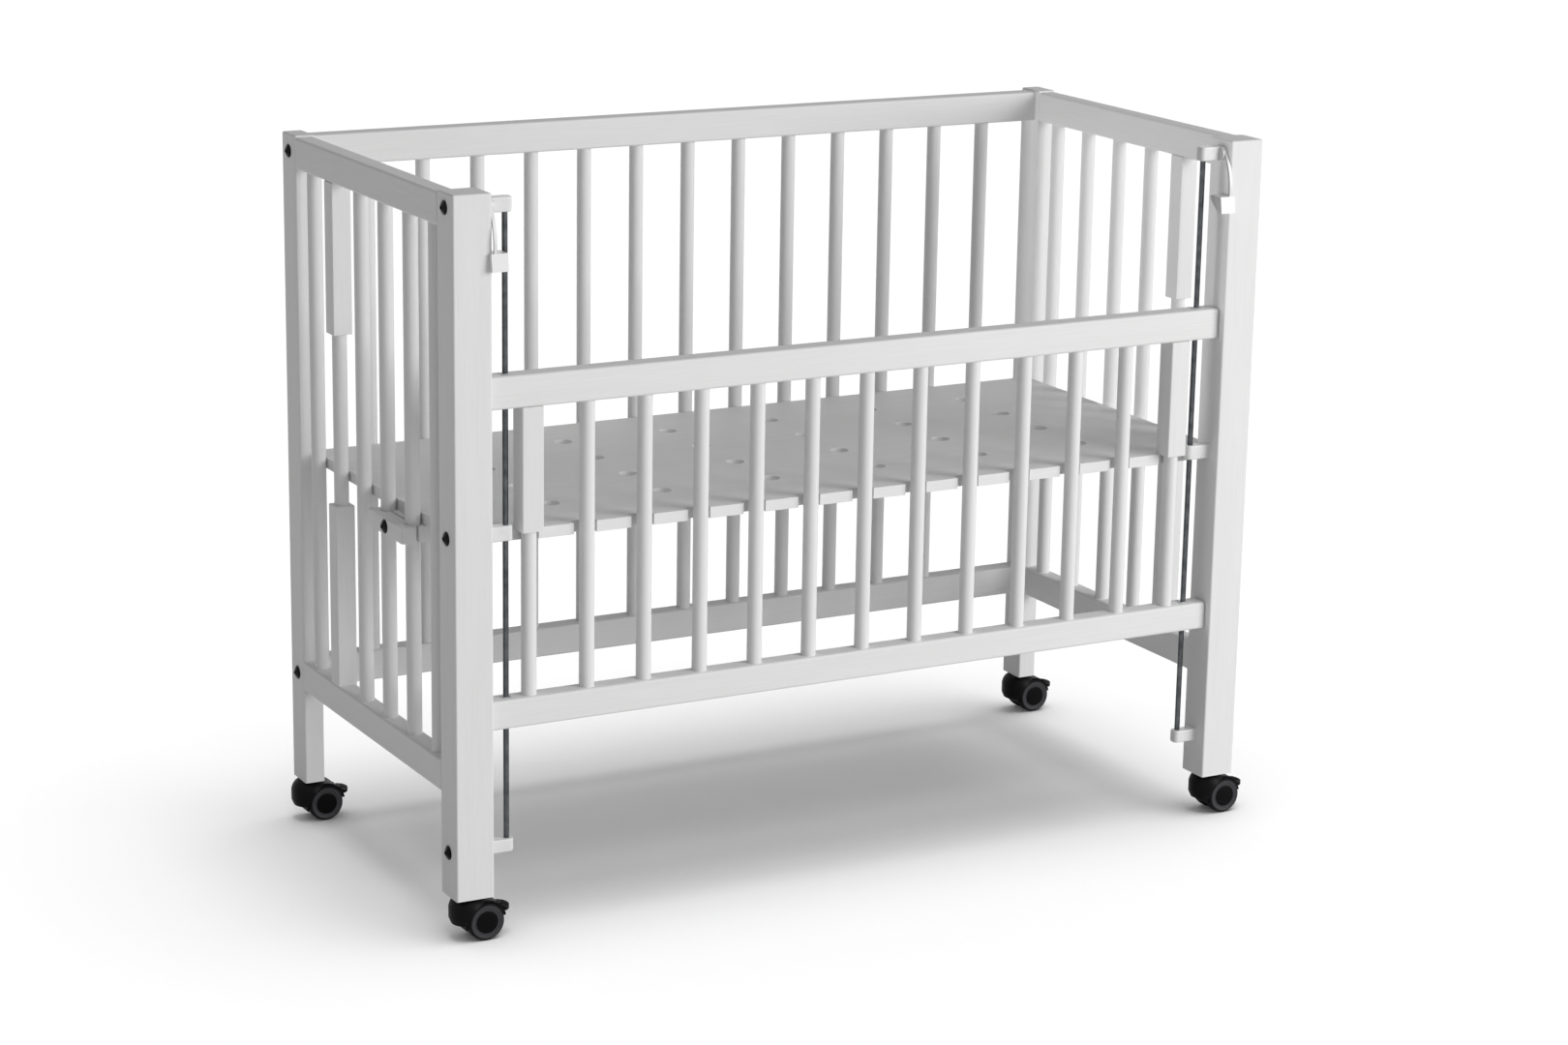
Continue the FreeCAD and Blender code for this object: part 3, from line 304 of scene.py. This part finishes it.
def turned(profile, centre=(0, 0, 0), axis="Z", steps=ROUND_STEPS, closed=False):
    """(radius, height) corners spun once round an axis through centre."""
    bm = bmesh.new()
    ring = [bm.verts.new((r, 0, h)) for r, h in profile]
    edges = [bm.edges.new(pair) for pair in zip(ring, ring[1:] + (ring[:1] if closed else []))]
    bmesh.ops.spin(bm, geom=ring + edges, cent=(0, 0, 0), axis=(0, 0, 1), dvec=(0, 0, 0),
                   angle=math.tau, steps=steps, use_merge=True, use_duplicate=False)
    bmesh.ops.remove_doubles(bm, verts=bm.verts, dist=1e-6)
    if axis == "Y":
        bmesh.ops.rotate(bm, verts=bm.verts, cent=(0, 0, 0),
                         matrix=Matrix.Rotation(-math.pi / 2, 3, "X"))
    bmesh.ops.translate(bm, verts=bm.verts, vec=centre)
    bmesh.ops.recalc_face_normals(bm, faces=bm.faces)
    return bm


def joined(shapes):
    """Several bmeshes as one."""
    whole = bmesh.new()
    for bm in shapes:
        part = bpy.data.meshes.new("part")
        bm.to_mesh(part)
        bm.free()
        whole.from_mesh(part)
        bpy.data.meshes.remove(part)
    return whole


def solids_of(node):
    """Lowest and highest corner of each separate solid of a CAD node, from left to right."""
    bm = welded(node)
    left, boxes = set(bm.verts), []
    while left:
        todo, island = [left.pop()], []
        while todo:
            vert = todo.pop()
            island.append(vert.co.copy())
            for edge in vert.link_edges:
                other = edge.other_vert(vert)
                if other in left:
                    left.remove(other)
                    todo.append(other)
        boxes.append(tuple(Vector(pick(co[i] for co in island) for i in range(3))
                           for pick in (min, max)))
    bm.free()
    return sorted(boxes, key=lambda b: (round(b[0].x, 4), round(b[0].y, 4), round(b[0].z, 4)))


# ---------------------------------------------------------------- pieces
def placed(name, data):
    """A new object in the scene."""
    made = bpy.data.objects.new(name, data)
    bpy.context.scene.collection.objects.link(made)
    return made


def stand_for(node, bm, finishes, suffix, angle=SHARP):
    """Make the bmesh the visible piece of a CAD node: shaded, finished, riding on its body."""
    for face in bm.faces:
        face.smooth = True
    for edge in bm.edges:
        if len(edge.link_faces) == 2:
            edge.smooth = edge.calc_face_angle() < math.radians(angle)
    mesh = bpy.data.meshes.new(node + suffix)
    bm.to_mesh(mesh)
    bm.free()
    for name in finishes:
        mesh.materials.append(finish(name))
    piece = placed(node + suffix, mesh)
    even = piece.modifiers.new("Even shading", "WEIGHTED_NORMAL")
    even.keep_sharp = True
    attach(piece, NODES[node]["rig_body"])
    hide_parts(node)


def lacquer(node, width, axis, **rounding):
    """Make a CAD node the visible lacquered piece, its edges rounded and its grain on an axis."""
    stand_for(node, soften(cad_copy(node), width, **rounding), ["lacquer_" + axis], ".lacquered")


def mould(node, edge, name, extras=()):
    """Make a CAD node the visible moulded piece, its edges rounded, with what is moulded on it."""
    shape = soften(cad_copy(node), edge, SHARP_MOULDED)
    stand_for(node, joined([shape, *extras]) if extras else shape, [name], ".moulded")


def refinish(node, name):
    """Give a CAD node that stays in view its real finish."""
    NODES[node].material_slots[0].material = finish(name)


# ---------------------------------------------------------------- settings
class CribTimberSettings(bpy.types.PropertyGroup):
    """Sizes and colours of the lacquered timber."""
    arris: bpy.props.FloatProperty(
        name="Arris", description="Rounding of the sawn ends and edges under the lacquer",
        default=0.6 * MM, min=0.1 * MM, max=3 * MM, unit="LENGTH")
    board_edge: bpy.props.FloatProperty(
        name="Board edge", description="Rounding of the bed board's edges, comb and air holes",
        default=0.7 * MM, min=0.2 * MM, max=3 * MM, unit="LENGTH")
    lacquer_bead: bpy.props.FloatProperty(
        name="Lacquer bead", description="Lacquer that gathers where a slat enters its rail",
        default=0.35 * MM, min=0.0, max=1 * MM, unit="LENGTH")
    lacquer_white: bpy.props.FloatVectorProperty(
        name="Lacquer", description="Colour of the white lacquer", default=colour("E8E8E8"),
        size=3, min=0, max=1, subtype="COLOR")
    grain_depth: bpy.props.FloatProperty(
        name="Grain", description="Tone of the grain lines against the lacquer", default=0.968,
        min=0.5, max=1.0, subtype="FACTOR")
    sheen: bpy.props.FloatProperty(
        name="Roughness", description="Roughness of the satin lacquer",
        default=0.55, min=0.1, max=0.9, subtype="FACTOR")


class CribFittingsSettings(bpy.types.PropertyGroup):
    """Sizes and colours of the plastic and steel fittings."""
    moulded_edge: bpy.props.FloatProperty(
        name="Moulded edge", description="Edge radius of the moulded latches and caster parts",
        default=0.45 * MM, min=0.1 * MM, max=1.5 * MM, unit="LENGTH")
    rod_chamfer: bpy.props.FloatProperty(
        name="Rod chamfer", description="Chamfer at the ends of the guide rods",
        default=0.5 * MM, min=0.1 * MM, max=2 * MM, unit="LENGTH")
    abs_white: bpy.props.FloatVectorProperty(
        name="Plastic", description="Colour of the white plastic", default=colour("E3E3E3"),
        size=3, min=0, max=1, subtype="COLOR")
    grip_ribs: bpy.props.IntProperty(
        name="Grip ribs", description="Ribs across the paddle of each brake lever",
        default=3, min=0, max=5)


class CribStudioSettings(bpy.types.PropertyGroup):
    """Camera and light of the studio view."""
    lens: bpy.props.FloatProperty(
        name="Lens", description="Focal length on a 36 mm sensor, in millimetres",
        default=83.27, min=20, max=300)
    key_power: bpy.props.FloatProperty(
        name="Key light", description="Power of the softbox in front on the right",
        default=225.0, min=0, subtype="POWER")
    top_strength: bpy.props.FloatProperty(
        name="Top light", description="Strength of the soft light from above and in front",
        default=0.5, min=0)
    inner_power: bpy.props.FloatProperty(
        name="Inner light",
        description="Power of the small panel that lights the right end from inside",
        default=2.2, min=0, subtype="POWER")
    room_light: bpy.props.FloatProperty(
        name="Room light", description="Strength of the even light from all round",
        default=0.11, min=0)
    floor_light: bpy.props.FloatProperty(
        name="Floor light", description="Strength of the light that draws the shadow on the floor",
        default=3.0, min=0)


# ---------------------------------------------------------------- timber
class CRIB_OT_posts_and_rails(bpy.types.Operator):
    """Make the four posts and the fixed rails between them, with eased ends under the lacquer"""
    bl_idname = "crib.posts_and_rails"
    bl_label = "Posts and fixed rails"

    def execute(self, context):
        for node in sorted(NODES):
            if node.endswith("_post"):
                axis = "z"
            elif node.endswith("_rail") and "_end_" in node:
                axis = "y"
            elif node.startswith("back_") and node.endswith("_rail"):
                axis = "x"
            else:
                continue
            lacquer(node, context.scene.crib_timber.arris, axis)
        return {"FINISHED"}


class CRIB_OT_round_slats(bpy.types.Operator):
    """Turn the round slats of the ends, back and drop side, with a lacquer bead at each rail"""
    bl_idname = "crib.round_slats"
    bl_label = "Round slats"

    tenon: bpy.props.FloatProperty(
        name="Tenon", description="Length of slat inside each rail",
        default=14 * MM, min=0, unit="LENGTH")

    def execute(self, context):
        bead, chamfer = context.scene.crib_timber.lacquer_bead, 0.6 * MM
        for node in ("left_end_slats", "right_end_slats", "back_slats", "drop_side_slats"):
            slats = []
            for low, high in solids_of(node):
                r, half = (high.x - low.x) / 2, (high.z - low.z) / 2
                shoulder = half - self.tenon
                slats.append(turned(mirrored([
                    (0, half), (r - chamfer, half), (r, half - chamfer),
                    (r, shoulder + 0.1 * MM), (r + bead, shoulder),
                    (r + 0.3 * bead, shoulder - 0.5 * bead), (r, shoulder - 1.6 * bead)]),
                    (low + high) / 2))
            stand_for(node, joined(slats), ["lacquer_z"], ".lacquered")
        return {"FINISHED"}


class CRIB_OT_square_slats(bpy.types.Operator):
    """Make the slats with square blocks: the board's stops and the drop side's feet"""
    bl_idname = "crib.square_slats"
    bl_label = "Slats with square blocks"

    def execute(self, context):
        for node in ("left_end_stop_slat", "right_end_stop_slat", "drop_side_block_slats"):
            lacquer(node, context.scene.crib_timber.arris, "z")
        return {"FINISHED"}


class CRIB_OT_drop_side_rails(bpy.types.Operator):
    """Make the top and bottom rail of the drop side"""
    bl_idname = "crib.drop_side_rails"
    bl_label = "Drop side rails"

    def execute(self, context):
        for node in ("drop_side_top_rail", "drop_side_bottom_rail"):
            lacquer(node, context.scene.crib_timber.arris, "x")
        return {"FINISHED"}


class CRIB_OT_bed_board(bpy.types.Operator):
    """Make the bed board with its comb edge and air holes, all edges rounded"""
    bl_idname = "crib.bed_board"
    bl_label = "Bed board"

    def execute(self, context):
        lacquer("bed_board", context.scene.crib_timber.board_edge, "x", angle=60.0, segments=3)
        return {"FINISHED"}


class CRIB_OT_clamps(bpy.types.Operator):
    """Make the inner and outer blocks that clamp the bed board to the end slats"""
    bl_idname = "crib.clamps"
    bl_label = "Board clamps"

    def execute(self, context):
        for node in ("clamp_outer_blocks", "clamp_inner_blocks"):
            lacquer(node, context.scene.crib_timber.board_edge, "y", angle=50.0, segments=3)
        return {"FINISHED"}


# ---------------------------------------------------------------- fittings
def bush_shape(low, high, bore):
    """A bush with a flange at its top, turned round the rod it runs on."""
    flange, top, foot = (high.x - low.x) / 2, high.z, low.z
    step = 1.0 * MM                                   # width and thickness of the flange
    barrel, centre = flange - step, (low + high) / 2
    profile = [(bore, foot + 0.3 * MM), (bore + 0.3 * MM, foot), (barrel - 0.4 * MM, foot),
               (barrel, foot + 0.4 * MM), (barrel, top - step), (flange - 0.1 * MM, top - step),
               (flange, top - 0.85 * step), (flange, top - 0.35 * step),
               (flange - 0.35 * MM, top), (bore + 0.4 * MM, top), (bore, top - 0.4 * MM)]
    return turned(profile, (centre.x, centre.y, 0), closed=True)


class CRIB_OT_guide_rods(bpy.types.Operator):
    """Turn the two guide rods and the flanged bushes of the drop side that run on them"""
    bl_idname = "crib.guide_rods"
    bl_label = "Guide rods and bushes"

    def execute(self, context):
        cut = context.scene.crib_fittings.rod_chamfer
        solids, rods = solids_of("guide_rods"), []
        for low, high in solids:
            r, half = (high.x - low.x) / 2, (high.z - low.z) / 2
            rods.append(turned(mirrored([(0, half), (r - cut, half), (r, half - cut)]),
                               (low + high) / 2))
        stand_for("guide_rods", joined(rods), ["ground_rod"], ".ground", SHARP_ROD)
        bore = (solids[0][1].x - solids[0][0].x) / 2 + ROD_PLAY
        bushes = [bush_shape(low, high, bore) for low, high in solids_of("rod_bushes")]
        stand_for("rod_bushes", joined(bushes), ["zinc"], ".plated")
        return {"FINISHED"}


class CRIB_OT_rod_brackets(bpy.types.Operator):
    """Finish the moulded rod brackets and the threaded inserts inside them"""
    bl_idname = "crib.rod_brackets"
    bl_label = "Rod brackets"

    def execute(self, context):
        for node in ("upper_rod_brackets", "middle_rod_brackets", "lower_rod_brackets"):
            refinish(node, "abs")
        refinish("bracket_inserts", "brass")
        return {"FINISHED"}


class CRIB_OT_latches(bpy.types.Operator):
    """Make the two moulded latches with their bowed spring arms"""
    bl_idname = "crib.latches"
    bl_label = "Drop side latches"

    def execute(self, context):
        for node in ("left_latch", "right_latch"):
            mould(node, context.scene.crib_fittings.moulded_edge, "abs")
        return {"FINISHED"}


class CRIB_OT_fasteners(bpy.types.Operator):
    """Finish the bolts, nuts, screws and dowels"""
    bl_idname = "crib.fasteners"
    bl_label = "Bolts, nuts, screws and dowels"

    def execute(self, context):
        for name, nodes in (("black_bolt", ("bracket_bolts", "back_panel_bolts", "clamp_bolts")),
                            ("zinc", ("barrel_nuts", "clamp_nuts", "clamp_screws")),
                            ("beech", ("rail_dowels",))):
            for node in nodes:
                refinish(node, name)
        return {"FINISHED"}


# ---------------------------------------------------------------- casters
def wheel_shape(node, side):
    """One wheel of a caster, spun about its axle: crowned tread, recessed face, domed hub cap."""
    low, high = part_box(node)
    r, mid = (high.z - low.z) / 2, (low + high) / 2
    outer = (high.y - low.y) / 2
    face, inner = outer - 0.6 * MM, outer - 12.6 * MM
    bore, cap = 3.08 * MM, 12.0 * MM                  # radius of the axle's bore and of the cap
    recess, back = face - 1.5 * MM, face - 2.5 * MM
    profile = [
        # tread, from the inner face outwards
        (bore, inner), (r - 2.6 * MM, inner), (r - 1.2 * MM, inner + 0.35 * MM),
        (r - 0.35 * MM, inner + 1.2 * MM), (r, inner + 2.8 * MM), (r, face - 2.8 * MM),
        (r - 0.35 * MM, face - 1.2 * MM), (r - 0.9 * MM, face - 0.4 * MM), (r - 1.6 * MM, face),
        # recess that holds the face ring
        (r - 2.0 * MM, face), (r - 2.0 * MM, recess), (cap, recess),
        # hub cap with its groove, and the bore's end
        (cap, face - 0.1 * MM), (11.6 * MM, face + 0.3 * MM), (10.8 * MM, face + 0.45 * MM),
        (10.4 * MM, face + 0.28 * MM), (10.0 * MM, face + 0.28 * MM),
        (9.6 * MM, face + 0.46 * MM), (6.0 * MM, face + 0.56 * MM), (0, outer),
        (0, back), (bore, back)]
    bm = turned([(radius, side * y) for radius, y in profile], mid, "Y", WHEEL_STEPS, closed=True)
    for polygon in bm.faces:
        centre = polygon.calc_center_median() - mid
        if centre.xz.length < cap and abs(centre.y) > face - 1.6 * MM:
            polygon.material_index = 1
    return bm


def disc_shape(node, side):
    """The face ring of one wheel: dished, with a raised inner lip."""
    low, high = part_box(node)
    mid, r, outer = (low + high) / 2, (high.z - low.z) / 2, (high.y - low.y) / 2
    back, bore = outer - 2.2 * MM, 12.1 * MM
    profile = [
        (bore, back), (r, back), (r, back + 1.4 * MM), (r - 0.3 * MM, outer - 0.25 * MM),
        (r - 0.9 * MM, outer), (r - 1.6 * MM, outer - 0.05 * MM),
        (r - 2.1 * MM, outer - 0.45 * MM), (bore + 1.1 * MM, outer - 0.75 * MM),
        (bore + 0.8 * MM, outer - 0.35 * MM), (bore + 0.2 * MM, outer - 0.35 * MM),
        (bore, outer - 0.55 * MM)]
    return turned([(radius, side * y) for radius, y in profile], mid, "Y", WHEEL_STEPS, closed=True)


def paddle_ribs(node, count):
    """Rounded grip ribs across the end of a brake lever's paddle, shorter towards the wheels."""
    low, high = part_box(node)
    ribs = []
    for i in range(count):
        behind = count - 1 - i                        # ribs between this one and the tip
        bm = bmesh.new()
        bmesh.ops.create_cube(bm, size=1.0)
        length = (high.y - low.y) * (0.62 - 0.12 * behind)
        bmesh.ops.scale(bm, verts=bm.verts, vec=(0.9 * MM, length, 0.9 * MM))
        bmesh.ops.translate(bm, verts=bm.verts, vec=(
            high.x - (3.2 + 2.2 * behind) * MM, (low.y + high.y) / 2, high.z - 2.45 * MM))
        bmesh.ops.bevel(bm, geom=bm.edges[:], offset=0.3 * MM, offset_type="OFFSET", segments=3,
                        profile=0.5, affect="EDGES", clamp_overlap=True, material=-1)
        ribs.append(bm)
    return ribs


class CRIB_OT_casters(bpy.types.Operator):
    """Make the four braked twin-wheel casters"""
    bl_idname = "crib.casters"
    bl_label = "Casters"

    def execute(self, context):
        fittings = context.scene.crib_fittings
        for place in PLACES:
            caster = place + "_caster_"
            for node, shape, finishes in ((caster + "wheels", wheel_shape, ["tread", "cap"]),
                                          (caster + "wheel_discs", disc_shape, ["ring"])):
                stand_for(node, joined([shape(node, side) for side in (-1, 1)]), finishes,
                          ".moulded", SHARP_WHEEL)
            mould(caster + "housing", fittings.moulded_edge, "housing")
            lever = caster + "brake_lever"
            mould(lever, fittings.moulded_edge, "housing", paddle_ribs(lever, fittings.grip_ribs))
            refinish(caster + "pins", "zinc")
        refinish("caster_stems", "zinc")
        return {"FINISHED"}


# ---------------------------------------------------------------- studio
def softbox(name, place, target, width, height, power):
    """A rectangular area lamp that faces a point."""
    lamp = bpy.data.lights.new(name, "AREA")
    lamp.shape, lamp.size, lamp.size_y, lamp.energy = "RECTANGLE", width, height, power
    made = placed(name, lamp)
    made.location = place
    made.rotation_euler = (Vector(target) - Vector(place)).to_track_quat("-Z", "Y").to_euler()
    return made


def sun(name, direction, degrees_wide, strength):
    """An even light from one side of the sky, as soft as its disc is wide."""
    lamp = bpy.data.lights.new(name, "SUN")
    lamp.energy, lamp.angle = strength, math.radians(degrees_wide)
    made = placed(name, lamp)
    made.rotation_euler = (-Vector(direction)).to_track_quat("-Z", "Y").to_euler()
    return made


def light_group(name, *members):
    """A collection that says which objects a lamp lights."""
    group = bpy.data.collections.new(name)
    for member in members:
        group.objects.link(member)
    return group


def white_to_camera(tree, white, other):
    """White where the camera, a reflection or a refraction looks, the other for all other light."""
    path = add_node(tree, "ShaderNodeLightPath").outputs
    seen = add_node(tree, "ShaderNodeMath", operation="MAXIMUM",
                    links={0: path["Is Camera Ray"], 1: path["Is Glossy Ray"]})
    both = add_node(tree, "ShaderNodeMath", operation="MAXIMUM",
                    links={0: seen.outputs[0], 1: path["Is Transmission Ray"]})
    return add_node(tree, "ShaderNodeMixShader",
                    links={0: both.outputs[0], 1: other, 2: white}).outputs[0]


class CRIB_OT_studio(bpy.types.Operator):
    """Set up the white floor, the soft studio light and the camera at the photograph's angle"""
    bl_idname = "crib.studio"
    bl_label = "Studio"

    def execute(self, context):
        settings = context.scene.crib_studio
        self.light(context.scene, settings, self.floor(settings))
        self.camera(context.scene, settings)
        return {"FINISHED"}

    def floor(self, settings):
        """A matt white sweep: what its light doesn't give is made up to white.

        Its shadow stays soft grey that way. Light that bounces off it meets a grey instead, so that
        the floor doesn't light the crib from below.
        """
        bm = bmesh.new()
        bmesh.ops.create_grid(bm, x_segments=1, y_segments=1, size=30.0)
        mesh = bpy.data.meshes.new("studio_floor")
        bm.to_mesh(mesh)
        bm.free()
        made = placed("studio_floor", mesh)
        sweep = bpy.data.materials.new("white_paper_sweep")
        sweep.use_nodes = True
        tree = sweep.node_tree
        tree.nodes.clear()
        paper = two_tone(tree, even_noise(tree, 4), 0.3, 0.7, colour("F4F4F4"), colour("F6F6F6"))
        matt = add_node(tree, "ShaderNodeBsdfDiffuse", links={"Color": paper})
        grey = add_node(tree, "ShaderNodeBsdfDiffuse", {"Color": (*colour("C0C0C0"), 1)})
        given = PAPER_GIVES * (settings.room_light + settings.floor_light / math.pi)
        lift = add_node(tree, "ShaderNodeEmission",
                        {"Color": (1, 1, 1, 1), "Strength": max(0.0, JUST_WHITE - given)})
        seen = add_node(tree, "ShaderNodeAddShader",
                        links={0: matt.outputs[0], 1: lift.outputs[0]})
        surface = white_to_camera(tree, seen.outputs[0], grey.outputs[0])
        add_node(tree, "ShaderNodeOutputMaterial", links={"Surface": surface})
        mesh.materials.append(sweep)
        return made

    def light(self, scene, settings, floor):
        """Soft light for the crib alone, and two suns that draw its shadow on the floor.

        A small panel inside the crib lights only the right end, which is brighter than the left.
        """
        not_floor = light_group("all_but_floor", floor)
        not_floor.collection_objects[0].light_linking.link_state = "EXCLUDE"
        floor_only = light_group("floor_only", floor)
        right_end = light_group("right_end", *(
            o for o in scene.objects
            if o.name.startswith("right_end_") or "_right_post" in o.name))
        inner = softbox("inner_panel", place=(-0.38, -0.02, 0.70), target=(0.5, 0.05, 0.66),
                        width=0.4, height=0.25, power=settings.inner_power)
        inner.visible_camera = inner.visible_glossy = False
        key = softbox("key_softbox", place=(3.2, -4.4, 1.95), target=(0.0, 0.0, 0.45),
                      width=3.4, height=3.0, power=settings.key_power)
        top = sun("top_light", direction=(-0.1, -0.45, 1.0), degrees_wide=60.0,
                  strength=settings.top_strength)
        narrow = sun("shadow_light", direction=(0.12, -0.15, 1.0), degrees_wide=42.0,
                     strength=NARROW_SHARE * settings.floor_light)
        wide = sun("wide_shadow_light", direction=(0.05, 0.15, 1.0), degrees_wide=120.0,
                   strength=WIDE_SHARE * settings.floor_light)
        for lamp, lit in ((key, not_floor), (top, not_floor), (inner, right_end),
                          (narrow, floor_only), (wide, floor_only)):
            lamp.light_linking.receiver_collection = lit
        self.room(scene, settings)

    def room(self, scene, settings):
        """A room that looks white and gives a little even light."""
        world = bpy.data.worlds.new("studio_room")
        scene.world = world
        world.use_nodes = True
        tree = world.node_tree
        tree.nodes.clear()
        room, white = (add_node(tree, "ShaderNodeBackground",
                                {"Color": (1, 1, 1, 1), "Strength": strength}).outputs[0]
                       for strength in (settings.room_light, 1.0))
        add_node(tree, "ShaderNodeOutputWorld",
                 links={"Surface": white_to_camera(tree, white, room)})

    def camera(self, scene, settings):
        """The view from the front left, turned and tilted as in the photograph."""
        yaw, pitch, roll = CAMERA_TURN
        ahead = Vector((math.sin(yaw) * math.cos(pitch), math.cos(yaw) * math.cos(pitch),
                        -math.sin(pitch)))
        right = Vector((math.cos(yaw), -math.sin(yaw), 0))
        up = right.cross(ahead)
        right_r = math.cos(roll) * right + math.sin(roll) * up
        up_r = math.cos(roll) * up - math.sin(roll) * right
        lens = bpy.data.cameras.new("studio_camera")
        lens.lens, lens.sensor_width, lens.sensor_fit = settings.lens, SENSOR_MM, "HORIZONTAL"
        lens.clip_end = 100.0
        made = placed("studio_camera", lens)
        made.matrix_world = Matrix.Translation(CAMERA_PLACE) @ Matrix(
            (right_r, up_r, -ahead)).transposed().to_4x4()
        scene.camera = made
        scene.view_settings.view_transform = "Standard"


# ---------------------------------------------------------------- add-on
PIECE_OPERATORS = (
    CRIB_OT_posts_and_rails, CRIB_OT_round_slats, CRIB_OT_square_slats, CRIB_OT_drop_side_rails,
    CRIB_OT_bed_board, CRIB_OT_clamps, CRIB_OT_guide_rods, CRIB_OT_rod_brackets, CRIB_OT_latches,
    CRIB_OT_fasteners, CRIB_OT_casters, CRIB_OT_studio,
)
SETTINGS = {"crib_timber": CribTimberSettings, "crib_fittings": CribFittingsSettings,
            "crib_studio": CribStudioSettings}


class CRIB_PT_sidebar(bpy.types.Panel):
    """Sizes, colours and pieces of the crib"""
    bl_idname = "CRIB_PT_sidebar"
    bl_label = "Bedside Sleeper Crib"
    bl_space_type = "VIEW_3D"
    bl_region_type = "UI"
    bl_category = "Crib"

    def draw(self, context):
        for group, cls in SETTINGS.items():
            box = self.layout.box()
            box.label(text=group.removeprefix("crib_").capitalize())
            for name in cls.__annotations__:
                box.prop(getattr(context.scene, group), name)
        column = self.layout.column(align=True)
        for operator in PIECE_OPERATORS:
            column.operator(operator.bl_idname)


CLASSES = (*SETTINGS.values(), *PIECE_OPERATORS, CRIB_PT_sidebar)


def register():
    for cls in CLASSES:
        bpy.utils.register_class(cls)
    for name, cls in SETTINGS.items():
        setattr(bpy.types.Scene, name, bpy.props.PointerProperty(type=cls))


def unregister():
    for name in SETTINGS:
        delattr(bpy.types.Scene, name)
    for cls in reversed(CLASSES):
        bpy.utils.unregister_class(cls)


def main():
    register()
    for operator in PIECE_OPERATORS:
        group, name = operator.bl_idname.split(".")
        getattr(getattr(bpy.ops, group), name)()


if __name__ == "__main__":
    main()
